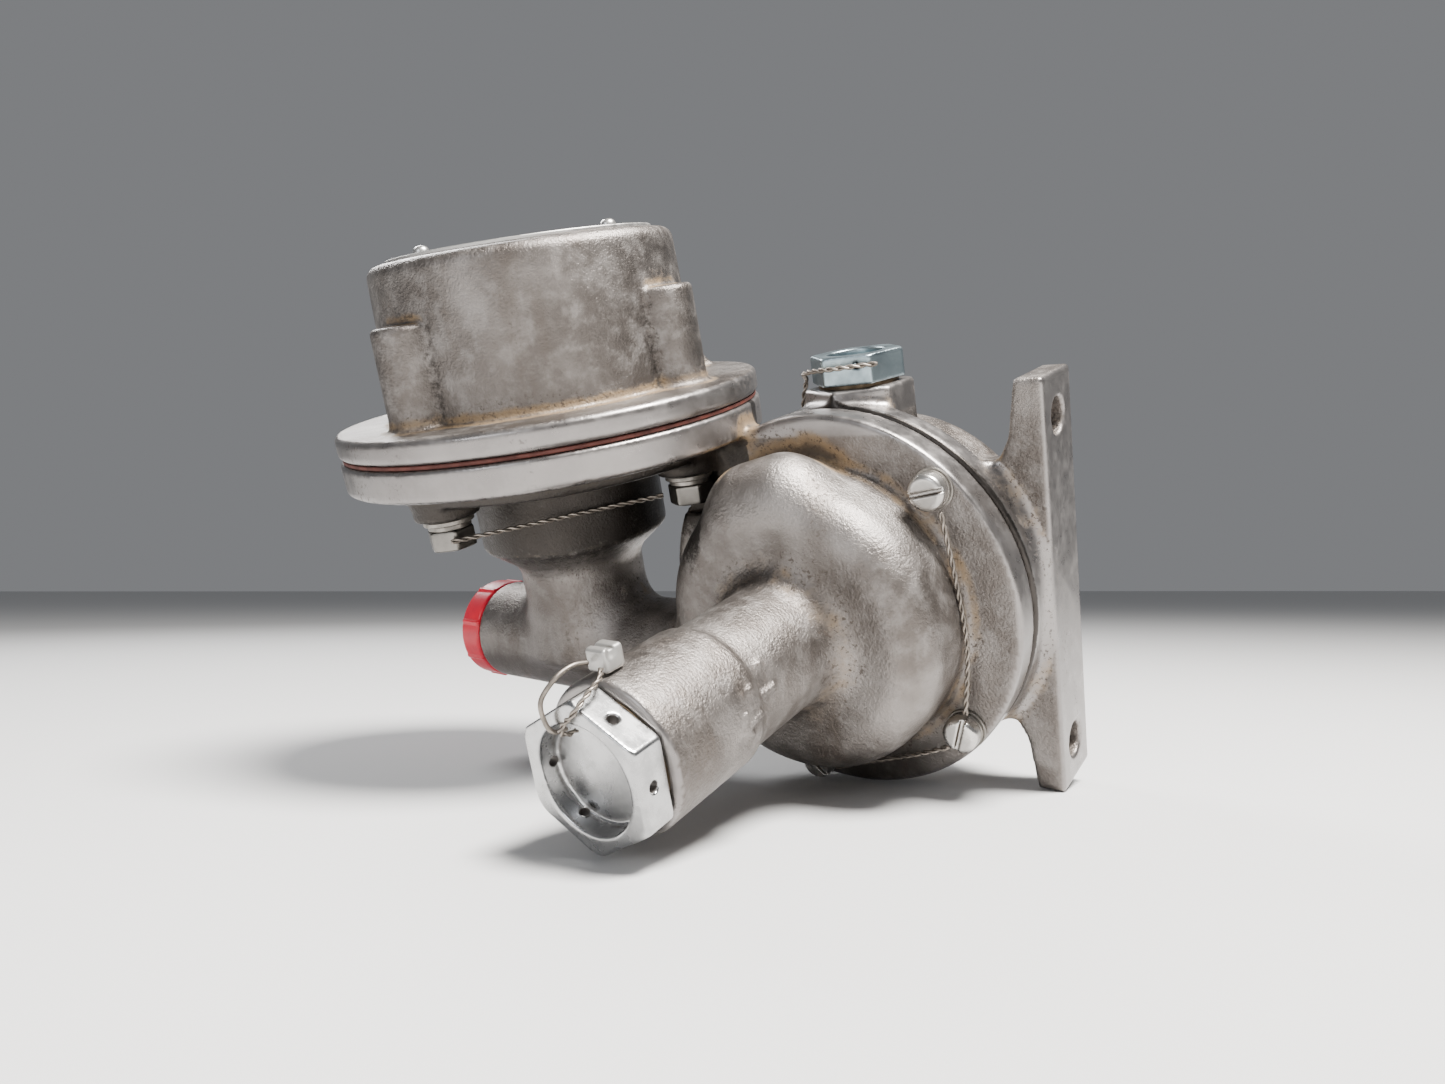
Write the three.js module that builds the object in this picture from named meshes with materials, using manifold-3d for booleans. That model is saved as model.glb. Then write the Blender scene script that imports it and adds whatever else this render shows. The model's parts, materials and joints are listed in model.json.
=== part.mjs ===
// Aircraft-type diaphragm valve: a drum with its own sprung diaphragm, a pilot diaphragm
// chamber beside it, an inlet tee with a transit cap, and a side pad that bolts to a frame.
// Millimetres, +Z up. The origin is the middle of the mounting pad's face, which looks along +X.
import * as THREE from "three";
import { mergeVertices } from "three/addons/utils/BufferGeometryUtils.js";
import Module from "manifold-3d";

const wasm = await Module();
wasm.setup();

// ---- driving dimensions -------------------------------------------------------------------
const seatGap = 0.3; // between pieces cut by, or seated in, one another
const faceGap = 0.05; // between flat clamped faces
const wall = 4; // casting wall
const sheet = 1; // rubber sheet thickness

const drum = {
  radius: 50.8, frontFlange: 9.8, rearFlange: 8.1, domeRadius: 37.2, domeFront: 33.8, shoulder: 12,
  backDepth: 40, backRadius: 43, screwInset: 5.2, screwAngles: [45.4, -39.4, -99.5, -131],
};
const tube = { radius: 15.7, bore: 10.5, rootFillet: 5.5, bossRadius: 16.8, bossLength: 28, end: 94.8 };
const endPlug = { acrossFlats: 29.1, height: 7.8, recess: 11.7, recessDepth: 5, thread: 12.2, threadLength: 11 };
const pad = { proud: 1.8, nearY: 8.3, farY: 29, halfHeight: 54, tip: 7.1, hole: 4.55, holeZ: 43.2 };
pad.faceX = drum.radius + pad.proud;
const topPlug = {
  x: 1, y: 16.2, acrossFlats: 22, height: 7.5, bossFlats: 25.4, bossRise: 3.2, recess: 7.5, thread: 8,
  turn: -0.28,
};
topPlug.bossTop = drum.radius + topPlug.bossRise;
topPlug.top = topPlug.bossTop + 1 + topPlug.height; // it stands on a washer 1 mm thick
// The pilot chamber stands over the drum's shoulder, so its axis and its joint follow the drum's rim.
// Its heights are counted from that joint.
const pilot = {
  beside: 27.2, above: 3.25, y: -20.3, radius: 59, lowerFlange: 8.95, upperFlange: 6.85, stepRadius: 48,
  stepDepth: 13.05, bowlRadius: 43, bowlDraft: 1.7, bowlHeight: 47.85, pillarCircle: 41, pillarRadius: 8.6,
  pillarHeight: 32.45, pillarAngles: [-94, 10, 138], cupRadius: 27, cupBottom: 21, neckRadius: 18,
  neckTop: 14, clamp: 34, boltDepth: 17.05,
};
pilot.x = -(drum.radius + pilot.beside);
pilot.joint = drum.radius + pilot.above;
pilot.lowerBottom = pilot.joint - pilot.lowerFlange;
pilot.stepBottom = pilot.joint - pilot.stepDepth;
pilot.upperTop = pilot.joint + pilot.upperFlange;
pilot.top = pilot.joint + pilot.bowlHeight;
pilot.pillarTop = pilot.joint + pilot.pillarHeight;
const tee = { z: -14.3, reach: 45.8, endX: -26, radius: 15.3, bore: 9.5 };
tee.portX = pilot.x - tee.reach;
const cap = { width: 8.1, skin: 1.3 };
const lobe = { y: -22, radius: 12, ends: [[1, 33], [-11, 30]] };
const screw = { head: 4.5, shank: 2.3, hole: 2.6, headHeight: 3.8, washer: 5.1 };
const bolt = { acrossFlats: 11.1, headHeight: 5.4, shank: 3, hole: 3.3, washer: 6.6 };
bolt.seat = pilot.joint - pilot.boltDepth;
const plate = { name: 36, nameThick: 1, driveCircle: 33 };
const mainValve = { seatOuter: 13.4, seatInner: 8.5, plate: 26, stem: 3.5, disc: 12, guide: 3.8 };
const pilotValve = { bore: 11, seatInner: 6, seatTop: 6, plate: 22, stem: 3, disc: 8.5, guideTop: 24 };
const coil = { main: 13, pilot: 14, wire: 1.4 };
const wireRadius = 0.65;

const SEG = 36; // facets round a large circle
const SMALL = 16; // facets round a small one

// ---- shapes -------------------------------------------------------------------------------
// A closed three.js geometry as a manifold-3d solid, with its shared vertices merged.
function solid(geometry) {
  const g = geometry.index ? geometry.toNonIndexed() : geometry.clone();
  g.deleteAttribute("normal");
  g.deleteAttribute("uv");
  const m = mergeVertices(g, 1e-4);
  return new wasm.Manifold(new wasm.Mesh({
    numProp: 3,
    vertProperties: new Float32Array(m.attributes.position.array),
    triVerts: new Uint32Array(m.index.array),
  }));
}
function geometryOf(s) {
  const m = s.getMesh();
  const v = new Float32Array(m.numVert * 3);
  for (let i = 0; i < m.numVert; i++) {
    v.set(m.vertProperties.subarray(i * m.numProp, i * m.numProp + 3), i * 3);
  }
  return new THREE.BufferGeometry()
    .setAttribute("position", new THREE.BufferAttribute(v, 3))
    .setIndex(new THREE.BufferAttribute(new Uint32Array(m.triVerts), 1));
}
const join = (...list) => list.reduce((a, b) => a.add(b));
const cut = (base, ...tools) => tools.reduce((a, b) => a.subtract(b), base);
const place = (geometry, matrix) => solid(geometry.applyMatrix4(matrix));
const move = (x, y, z) => new THREE.Matrix4().makeTranslation(x, y, z);
const spinX = (a) => new THREE.Matrix4().makeRotationX(a);
const spinY = (a) => new THREE.Matrix4().makeRotationY(a);
const spinZ = (a) => new THREE.Matrix4().makeRotationZ(a);

// A quarter arc from angle a to b (degrees) about (r, h), as profile points.
function arc(r, h, radius, a, b, steps = 4) {
  return Array.from({ length: steps + 1 }, (_, i) => {
    const t = THREE.MathUtils.degToRad(a + ((b - a) * i) / steps);
    return [r + radius * Math.cos(t), h + radius * Math.sin(t)];
  });
}
// A turned solid from [radius, height] points, run upwards along its outside. Axis +Z.
function turned(points, segments = SEG) {
  const outline = points.map(([r, h]) => new THREE.Vector2(Math.max(r, 0), h));
  const closed = outline[0].x === 0 && outline.at(-1).x === 0 ? outline : [...outline, outline[0]];
  return new THREE.LatheGeometry(closed, segments).applyMatrix4(spinX(Math.PI / 2));
}
const rod = (radius, z0, z1, segments = SMALL) =>
  turned([[0, z0], [radius, z0], [radius, z1], [0, z1]], segments);
const ring = (outer, inner, z0, z1, segments = SEG) =>
  turned([[inner, z0], [outer, z0], [outer, z1], [inner, z1]], segments);
// A hexagonal bar along +Z with chamfered corners at its top.
function hexBar(acrossFlats, z0, z1, turn = 0) {
  const corner = acrossFlats / Math.sqrt(3);
  const bar = place(rod(corner, z0, z1, 6), spinZ(turn));
  const lead = 0.09 * acrossFlats;
  const round = solid(turned([
    [0, z0], [corner + 1, z0], [corner + 1, z1 - lead * 0.75], [corner - lead * 0.5, z1], [0, z1],
  ], SMALL * 2));
  return bar.intersect(round);
}
// Frames: a turned shape's +Z laid along -Y (out of the drum's front), or along +X.
const toFront = spinX(Math.PI / 2);
const toRight = spinY(Math.PI / 2);
const atPilot = move(pilot.x, pilot.y, 0);
const toXYZ = (geometry, ...matrices) => matrices.reduce((g, m) => g.applyMatrix4(m), geometry);
const polar = (radius, degrees) => {
  const a = THREE.MathUtils.degToRad(degrees);
  return [radius * Math.cos(a), radius * Math.sin(a)];
};
// Where the pilot's pillars and the nameplate's screws stand, as [x, y].
const roundPilot = (radius, degrees) => {
  const [dx, dy] = polar(radius, degrees);
  return [pilot.x + dx, pilot.y + dy];
};
const pillarPlaces = pilot.pillarAngles.map((a) => roundPilot(pilot.pillarCircle, a));
const drivePlaces = [0, 90, 180, 270].map((a) => roundPilot(plate.driveCircle, a));
// Where the drum's screws are, as [x, z].
const screwPlaces = drum.screwAngles.map((a) => polar(drum.radius - drum.screwInset, a));

// ---- materials ----------------------------------------------------------------------------
const metal = (color, roughness, metalness = 0.9) =>
  new THREE.MeshStandardMaterial({ color, roughness, metalness });
const finish = {
  casting: metal(0xa59a90, 0.5),
  plated: metal(0x9aa4a8, 0.35),
  steel: metal(0xb9b4aa, 0.35),
  brass: metal(0xb08d57, 0.4),
  wire: metal(0x9c9186, 0.45),
  lead: metal(0x8d8c88, 0.6, 0.7),
  nameplate: metal(0x39404a, 0.5, 0.6),
  blackRubber: metal(0x1c1c1e, 0.8, 0),
  redRubber: metal(0xa33a22, 0.75, 0),
  redPlastic: metal(0xd8203c, 0.4, 0),
};
const model = new THREE.Group();
function add(name, made, material) {
  const shifted = made.translate([-pad.faceX, -(pad.nearY + pad.farY) / 2, 0]);
  const mesh = new THREE.Mesh(geometryOf(shifted), material);
  mesh.name = name;
  model.add(mesh);
}

// ---- castings -----------------------------------------------------------------------------
const half = sheet / 2 + faceGap; // from the rubber sheet's middle to a clamping face
const back = spinX(-Math.PI / 2);
const drumHollow = drum.domeRadius - wall;

// The drum's front cover with its outlet tube, the cross pipe, the neck and the pilot's lower dish.
function valveBody() {
  const f = drum.frontFlange;
  const d = drum.domeFront;
  const s = drum.shoulder;
  const rootR = tube.radius + tube.rootFillet;
  const front = toXYZ(turned([
    [0, half], [drum.radius, half], ...arc(drum.radius - 2.5, f - 2.5, 2.5, 0, 90, 2),
    [drum.domeRadius + 2, f], [drum.domeRadius, f + 2], ...arc(drum.domeRadius - s, d - s, s, 0, 90, 4),
    [rootR, d], ...arc(rootR, d + tube.rootFillet, tube.rootFillet, -90, -180, 3).slice(1),
    [tube.radius, tube.end - tube.bossLength], [tube.bossRadius, tube.end - tube.bossLength + 1.5],
    [tube.bossRadius, tube.end], [0, tube.end],
  ]), toFront);
  const spigot = tee.radius - cap.skin - seatGap;
  const start = tee.portX + cap.skin + seatGap;
  const inlet = toXYZ(turned([
    [0, 0], [spigot, 0], [spigot, cap.width], [tee.radius, cap.width + 0.2],
    [tee.radius, tee.endX - start], [0, tee.endX - start],
  ], 28), toRight, move(start, pilot.y, tee.z));
  const lower = turned([
    [0, tee.z], [pilot.neckRadius, tee.z], [pilot.neckRadius, pilot.neckTop],
    [pilot.cupRadius, pilot.cupBottom],
    [pilot.cupRadius, pilot.stepBottom - 3], [pilot.cupRadius + 3, pilot.stepBottom],
    [pilot.stepRadius, pilot.stepBottom], [pilot.stepRadius, pilot.lowerBottom],
    [pilot.radius - 1, pilot.lowerBottom], [pilot.radius, pilot.lowerBottom + 1],
    [pilot.radius, pilot.joint - half], [0, pilot.joint - half],
  ]).applyMatrix4(atPilot);
  const lump = wasm.Manifold.hull(lobe.ends.map(([x, z]) =>
    place(new THREE.SphereGeometry(lobe.radius, 20, 10), move(x, lobe.y, z))));
  const bosses = pillarPlaces.map(([x, y]) => place(turned([
    [0, bolt.seat], [8.5, bolt.seat], [8.5, pilot.lowerBottom + 3], [0, pilot.lowerBottom + 3],
  ], SMALL), move(x, y, 0)));
  const outside = join(...[front, inlet, lower].map(solid), lump, ...bosses);

  const hollow = toXYZ(turned([
    [0, -1], [drumHollow, -1], [drumHollow, d - s - 2], [drumHollow - s + wall, d - wall], [0, d - wall],
  ], 28), toFront);
  const tubeBore = toXYZ(rod(tube.bore, d - 2 * wall, tube.end + 1), toFront);
  const seatBore = toXYZ(rod(mainValve.seatOuter + seatGap, d - 2 * wall, d + 1), toFront);
  const plugBore = toXYZ(
    rod(endPlug.thread + seatGap, tube.end - endPlug.threadLength - 1, tube.end + 1), toFront);
  const inletBore = toXYZ(rod(tee.bore, -1, tee.endX - start + 3), toRight, move(start, pilot.y, tee.z));
  const neckBore = turned([
    [0, tee.z], [pilotValve.seatInner + 1, tee.z], [pilotValve.seatInner + 1, 0],
    [pilotValve.bore, 0], [pilotValve.bore, pilot.cupBottom + 6], [0, pilot.cupBottom + 6],
  ], SMALL).applyMatrix4(atPilot);
  const dish = turned([
    [0, pilot.cupBottom + 4], [pilot.cupRadius - wall, pilot.cupBottom + 4],
    [pilot.cupRadius - wall, pilot.joint - 7], [pilot.clamp, pilot.joint - 5],
    [pilot.clamp, pilot.joint + 1], [0, pilot.joint + 1],
  ], 28).applyMatrix4(atPilot);
  const boltHoles = pillarPlaces.map(([x, y]) =>
    place(rod(bolt.hole, bolt.seat - 1, pilot.joint + 1, 12), move(x, y, 0)));
  const spotFaces = pillarPlaces.map(([x, y]) => place(rod(8, 24, bolt.seat), move(x, y, 0)));
  const screwHoles = screwPlaces.map(([x, z]) =>
    place(rod(screw.hole, -1, f + 1, 10), move(x, 0, z).multiply(toFront)));
  const hollows = [hollow, tubeBore, seatBore, plugBore, inletBore, neckBore, dish].map(solid);
  return cut(outside, ...hollows, ...boltHoles, ...spotFaces, ...screwHoles);
}

// The drum's back half, with the mounting pad on its right and the hexagonal boss on its top.
function rearHousing() {
  const b = drum.backDepth;
  const shell = toXYZ(turned([
    [0, half], [drum.radius, half], [drum.radius, drum.rearFlange], [drum.backRadius, drum.rearFlange],
    ...arc(drum.backRadius - 8, b - 8, 8, 0, 90, 3), [0, b],
  ]), back);
  const outline = new THREE.Shape();
  const h = pad.halfHeight;
  const inner = pad.faceX - pad.tip;
  outline.moveTo(pad.faceX, -h).lineTo(pad.faceX, h).lineTo(inner + 1.5, h).lineTo(inner, h - 1.5);
  outline.lineTo(inner - 2, h - 14).quadraticCurveTo(inner - 4, h - 22, inner - 14, h - 23);
  outline.lineTo(20, 25).lineTo(20, -25).lineTo(inner - 14, 23 - h);
  outline.quadraticCurveTo(inner - 4, 22 - h, inner - 2, 14 - h).lineTo(inner, 1.5 - h).lineTo(inner + 1.5, -h);
  outline.closePath();
  const depth = pad.farY - pad.nearY;
  const web = place(new THREE.ExtrudeGeometry(outline, { depth, bevelEnabled: false, curveSegments: 4 }),
    move(0, pad.farY, 0).multiply(toFront));
  const boss = hexBar(topPlug.bossFlats, 36, topPlug.bossTop).translate([topPlug.x, topPlug.y, 0]);
  const inside = drum.backRadius - wall;
  const hollow = toXYZ(turned([
    [0, -1], [drumHollow, -1], [drumHollow, 8], [inside, 11], [inside, b - wall - 5], [inside - 5, b - wall],
    [9, b - wall], [9, b - 14], [mainValve.guide, b - 14], [mainValve.guide, b - wall - 1], [0, b - wall - 1],
  ], 28), back);
  const plugBore = place(rod(topPlug.thread + seatGap, 34, topPlug.bossTop + 1), move(topPlug.x, topPlug.y, 0));
  const holes = [1, -1].map((side) => place(rod(pad.hole, 30, 60),
    move(0, (pad.nearY + pad.farY) / 2, side * pad.holeZ).multiply(toRight)));
  const taps = screwPlaces.map(([x, z]) =>
    place(rod(screw.hole, -1, drum.rearFlange + 1, 10), move(x, 0, z).multiply(back)));
  return cut(join(solid(shell), web, boss), solid(hollow), plugBore, ...holes, ...taps);
}

// The pilot chamber's bowl, with a pillar over each bolt.
function pilotCover() {
  const z0 = pilot.joint + half;
  const r = pilot.bowlRadius;
  const flange = turned([
    [0, z0], [pilot.radius, z0], [pilot.radius, pilot.upperTop - 2], [pilot.radius - 2, pilot.upperTop],
    [r + 2, pilot.upperTop], [r, pilot.upperTop + 2],
    ...arc(r - pilot.bowlDraft - 3.5, pilot.top - 3.5, 3.5, 0, 90, 2), [0, pilot.top],
  ]).applyMatrix4(atPilot);
  const hollow = turned([
    [0, z0 - 1], [pilot.clamp, z0 - 1], [pilot.clamp, z0 + 4], [r - wall, z0 + 7],
    [r - wall - pilot.bowlDraft, pilot.top - wall - 4], [r - wall - 6, pilot.top - wall], [0, pilot.top - wall],
  ], 28).applyMatrix4(atPilot);
  const pillars = pillarPlaces.map(([x, y]) => place(turned([
    [0, z0 + 1], [pilot.pillarRadius, z0 + 1], [pilot.pillarRadius - 0.4, pilot.pillarTop - 1],
    [pilot.pillarRadius - 1.4, pilot.pillarTop], [0, pilot.pillarTop],
  ], SMALL), move(x, y, 0)));
  const keep = turned([
    [pilot.clamp, z0], [pilot.radius - 2.5, z0], [pilot.radius - 2.5, pilot.top], [pilot.clamp, pilot.top],
  ]).applyMatrix4(atPilot);
  const gusset = new THREE.Shape([[r - 6, 0], [r + 11, -2], [r + 9.5, 0], [r - 1, 15], [r - 6, 15]]
    .map(([x, y]) => new THREE.Vector2(x, y)));
  const rib = toXYZ(new THREE.ExtrudeGeometry(gusset, { depth: 4, bevelEnabled: false }), move(0, 0, -2),
    spinX(Math.PI / 2), move(0, 0, pilot.upperTop), spinZ(THREE.MathUtils.degToRad(65)), atPilot);
  const taps = pillarPlaces.map(([x, y]) => place(rod(bolt.hole, z0 - 1, z0 + 18, 12), move(x, y, 0)));
  const driveHoles = drivePlaces.map(([x, y]) =>
    place(rod(1.3, pilot.top - 3, pilot.top + 1, 8), move(x, y, 0)));
  const inside = join(...pillars, solid(rib)).intersect(solid(keep));
  return cut(solid(flange).subtract(solid(hollow)).add(inside), ...taps, ...driveHoles);
}
add("valve_body", valveBody(), finish.casting);
add("rear_housing", rearHousing(), finish.casting);
add("pilot_cover", pilotCover(), finish.casting);

// ---- the drum's diaphragm and main valve, along the drum axis -------------------------------
const frontPlace = (points, segments) => solid(toXYZ(turned(points, segments), toFront));
const drumRubber = frontPlace([
  [mainValve.stem + seatGap, -sheet / 2], [drum.radius - 1.8, -sheet / 2],
  [drum.radius - 1.8, sheet / 2], [mainValve.stem + seatGap, sheet / 2],
]);
add("main_diaphragm", cut(drumRubber, ...screwPlaces.map(([x, z]) =>
  place(rod(screw.hole, -2, 2, 10), move(x, 0, z).multiply(toFront)))), finish.blackRubber);
const plateThick = 2;
const plateBore = mainValve.stem + seatGap;
add("main_plate_front", frontPlace([
  [plateBore, half], [mainValve.plate, half], [mainValve.plate, half + plateThick], [plateBore, half + plateThick],
], 24), finish.steel);
add("main_plate_rear", frontPlace([
  [plateBore, -half - plateThick], [mainValve.plate, -half - plateThick], [mainValve.plate, -half],
  [plateBore, -half],
], 24), finish.steel);
const seatFace = drum.domeFront - 5; // the main seat's inner face, from the drum's joint
add("main_seat", frontPlace([
  [mainValve.seatInner, seatFace], [mainValve.seatInner + 1, seatFace - 1], [mainValve.seatInner + 2, seatFace],
  [mainValve.seatOuter, seatFace], [mainValve.seatOuter, drum.domeFront], [mainValve.seatInner, drum.domeFront],
], 20), finish.brass);
const discBack = seatFace - 1 - faceGap - 3;
const stemBack = -(drum.backDepth - 13);
add("main_stem", frontPlace([
  [0, stemBack], [mainValve.stem, stemBack], [mainValve.stem, half + plateThick + faceGap],
  [6, half + plateThick + faceGap], [6, half + plateThick + 2], [mainValve.stem + 1, half + plateThick + 3],
  [mainValve.stem + 1, discBack - 2], [mainValve.disc, discBack], [mainValve.disc, discBack + 3], [0, discBack + 3],
]), finish.brass);
const nutAt = -half - plateThick - faceGap;
const hexRing = (flats, bore, z0, z1) => hexBar(flats, z0, z1).subtract(solid(rod(bore, z0 - 1, z1 + 1)));
add("main_nut", hexRing(14, plateBore, -nutAt, -nutAt + 5).transform(back.elements), finish.plated);

// A coil of round wire round +Z with flat-lying end turns, from z0 to z1.
function spring(radius, wire, turns, z0, z1) {
  const points = [];
  const steps = Math.round(turns * 10);
  for (let i = 0; i <= steps; i++) {
    const t = i / steps;
    const a = t * turns * 2 * Math.PI;
    const even = THREE.MathUtils.clamp((t - 0.08) / 0.84, 0, 1);
    const rise = (THREE.MathUtils.smoothstep(t, 0.06, 0.94) + even) / 2;
    const z = z0 + wire + rise * (z1 - z0 - 2 * wire);
    points.push(new THREE.Vector3(radius * Math.cos(a), radius * Math.sin(a), z));
  }
  return tubeAlong(points, wire, steps, 6);
}
// A round bar along a smooth path, closed at both ends.
function tubeAlong(points, radius, steps, sides = 6) {
  const section = new THREE.Shape(Array.from({ length: sides }, (_, i) => {
    const [x, y] = polar(radius, (i * 360) / sides);
    return new THREE.Vector2(x, y);
  }));
  const path = new THREE.CatmullRomCurve3(points);
  return new THREE.ExtrudeGeometry(section, { steps, extrudePath: path });
}
const springFar = drum.backDepth - wall - 0.3;
const mainCoil = spring(coil.main, coil.wire, 5, half + plateThick + 0.1, springFar);
add("main_spring", solid(toXYZ(mainCoil, back)), finish.steel);

// ---- the pilot's diaphragm and valve, along the chamber's upright axis ----------------------
const upright = (points, segments) => solid(turned(points, segments).applyMatrix4(atPilot));
const pilotBore = pilotValve.stem + seatGap;
const pilotRubber = upright([
  [pilotBore, pilot.joint - sheet / 2], [pilot.radius - 0.4, pilot.joint - sheet / 2],
  [pilot.radius - 0.4, pilot.joint + sheet / 2], [pilotBore, pilot.joint + sheet / 2],
]);
add("pilot_diaphragm", cut(pilotRubber, ...pillarPlaces.map(([x, y]) =>
  place(rod(bolt.hole, pilot.joint - 2, pilot.joint + 2, 12), move(x, y, 0)))), finish.redRubber);
const washerDisc = (name, z0, z1) => add(name, upright([
  [pilotBore, z0], [pilotValve.plate, z0], [pilotValve.plate, z1], [pilotBore, z1],
], 24), finish.steel);
washerDisc("pilot_plate_lower", pilot.joint - half - plateThick, pilot.joint - half);
washerDisc("pilot_plate_upper", pilot.joint + half, pilot.joint + half + plateThick);
const poppetLow = pilotValve.seatTop + 1 + faceGap;
const collarTop = pilot.joint - half - plateThick - faceGap;
add("pilot_stem", upright([
  [0, poppetLow], [pilotValve.disc, poppetLow], [pilotValve.disc, poppetLow + 3], [pilotValve.stem, poppetLow + 5],
  [pilotValve.stem, collarTop - 3], [5.5, collarTop - 3], [5.5, collarTop], [pilotValve.stem, collarTop],
  [pilotValve.stem, pilot.joint + 14], [0, pilot.joint + 14],
]), finish.brass);
const pilotNutZ = pilot.joint + half + plateThick + faceGap;
add("pilot_nut", hexRing(12, pilotBore, pilotNutZ, pilotNutZ + 4.5).translate([pilot.x, pilot.y, 0]), finish.plated);
add("pilot_seat", upright([
  [pilotValve.seatInner, faceGap], [pilotValve.bore - seatGap, faceGap],
  [pilotValve.bore - seatGap, pilotValve.seatTop], [pilotValve.seatInner + 2, pilotValve.seatTop],
  [pilotValve.seatInner + 1, pilotValve.seatTop + 1], [pilotValve.seatInner, pilotValve.seatTop],
]), finish.brass);
const guideHoles = [0, 120, 240].map((a) => place(rod(1.6, 15, 30, 10), move(...roundPilot(7, a), 0)));
add("pilot_guide", cut(upright([
  [pilotBore, pilotValve.guideTop - 6], [pilotValve.bore - seatGap, pilotValve.guideTop - 6],
  [pilotValve.bore - seatGap, pilot.cupBottom + 4 + faceGap], [14, pilot.cupBottom + 4 + faceGap],
  [14, pilotValve.guideTop + 4], [pilotBore, pilotValve.guideTop + 4],
]), ...guideHoles), finish.brass);
const capSeatZ = pilot.top - wall - faceGap;
add("pilot_spring_cup", upright([
  [0, capSeatZ - 6], [8, capSeatZ - 6], [8, capSeatZ - 1.5], [18, capSeatZ - 1.5], [18, capSeatZ], [0, capSeatZ],
], 20), finish.steel);
add("pilot_spring", solid(spring(coil.pilot, coil.wire, 6, pilot.joint + half + plateThick + 0.1, capSeatZ - 1.6)
  .applyMatrix4(atPilot)), finish.steel);

// ---- plugs and cap ---------------------------------------------------------------------------
const hexBack = tube.end + 1; // the seal washer's thickness ahead of the tube's end
const frontHex = hexBar(endPlug.acrossFlats, hexBack, hexBack + endPlug.height);
const plugThread = solid(rod(endPlug.thread, tube.end - endPlug.threadLength, hexBack + 1));
const plugRecess = solid(rod(endPlug.recess, hexBack + endPlug.height - endPlug.recessDepth, hexBack + 20));
add("outlet_plug", frontHex.add(plugThread).subtract(plugRecess).transform(toFront.elements), finish.plated);
add("outlet_seal_washer", frontPlace([
  [endPlug.thread + seatGap, tube.end + faceGap], [tube.bossRadius - 2.5, tube.end + faceGap],
  [tube.bossRadius - 2.5, hexBack - faceGap], [endPlug.thread + seatGap, hexBack - faceGap],
], 24), finish.brass);
const atPlug = [topPlug.x, topPlug.y, 0];
const plugFloor = topPlug.bossTop + 1;
add("top_plug", hexBar(topPlug.acrossFlats, plugFloor, topPlug.top, topPlug.turn)
  .add(solid(rod(topPlug.thread, 41, plugFloor + 1)))
  .subtract(solid(rod(topPlug.recess, topPlug.top - 4, topPlug.top + 1))).translate(atPlug), finish.plated);
add("top_plug_washer", solid(ring(topPlug.thread + 2.6, topPlug.thread + seatGap, topPlug.bossTop + faceGap,
  plugFloor - faceGap, 20)).translate(atPlug), finish.brass);
add("dust_cap", solid(toXYZ(turned([
  [0, 0], [tee.radius - 1, 0], [tee.radius, 1], [tee.radius, cap.width], [tee.radius - cap.skin, cap.width],
  [tee.radius - cap.skin, cap.skin], [0, cap.skin],
], 28), toRight, move(tee.portX, pilot.y, tee.z))), finish.redPlastic);

// ---- nameplate ---------------------------------------------------------------------------------
const plateZ = pilot.top + faceGap;
const plateTop = plateZ + plate.nameThick;
const plateDisc = upright([[0, plateZ], [plate.name, plateZ], [plate.name, plateTop], [0, plateTop]]);
add("nameplate", cut(plateDisc, ...drivePlaces.map(([x, y]) =>
  place(rod(1.3, plateZ - 1, plateZ + 3, 8), move(x, y, 0)))), finish.nameplate);
drivePlaces.forEach(([x, y], i) => {
  const z = plateTop + faceGap;
  add(`drive_screw_${i + 1}`, place(turned([
    [0, z - 3.5], [1, z - 3.5], [1, z], [2, z], [1.7, z + 1.1], [0.8, z + 1.6], [0, z + 1.6],
  ], 10), move(x, y, 0)), finish.plated);
});

// ---- fastenings --------------------------------------------------------------------------------
const thin = 0.8; // plain and spring washer thickness
screwPlaces.forEach(([x, z], i) => {
  const at = move(x, 0, z).multiply(toFront);
  const f = drum.frontFlange + faceGap;
  const under = f + 2 * (thin + faceGap);
  const body = solid(turned([
    [0, -drum.rearFlange + 0.5], [screw.shank, -drum.rearFlange + 0.5], [screw.shank, under], [screw.head, under],
    [screw.head, under + screw.headHeight - 0.4], [screw.head - 0.4, under + screw.headHeight],
    [0, under + screw.headHeight],
  ], 12));
  const slot = solid(new THREE.BoxGeometry(10, 1.1, 2.4).applyMatrix4(move(0, 0, under + screw.headHeight)));
  const turn = spinZ(i * 1.1);
  add(`cover_screw_${i + 1}`, body.subtract(slot.transform(turn.elements)).transform(at.elements), finish.steel);
  const plain = solid(ring(screw.washer, screw.hole, f, f + thin, 12));
  add(`cover_washer_${i + 1}`, plain.transform(at.elements), finish.steel);
  const split = solid(ring(screw.washer - 0.5, screw.hole, f + thin + faceGap, under - faceGap, 12));
  add(`cover_spring_washer_${i + 1}`, cutWasher(split, f).transform(at.elements), finish.steel);
});
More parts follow.
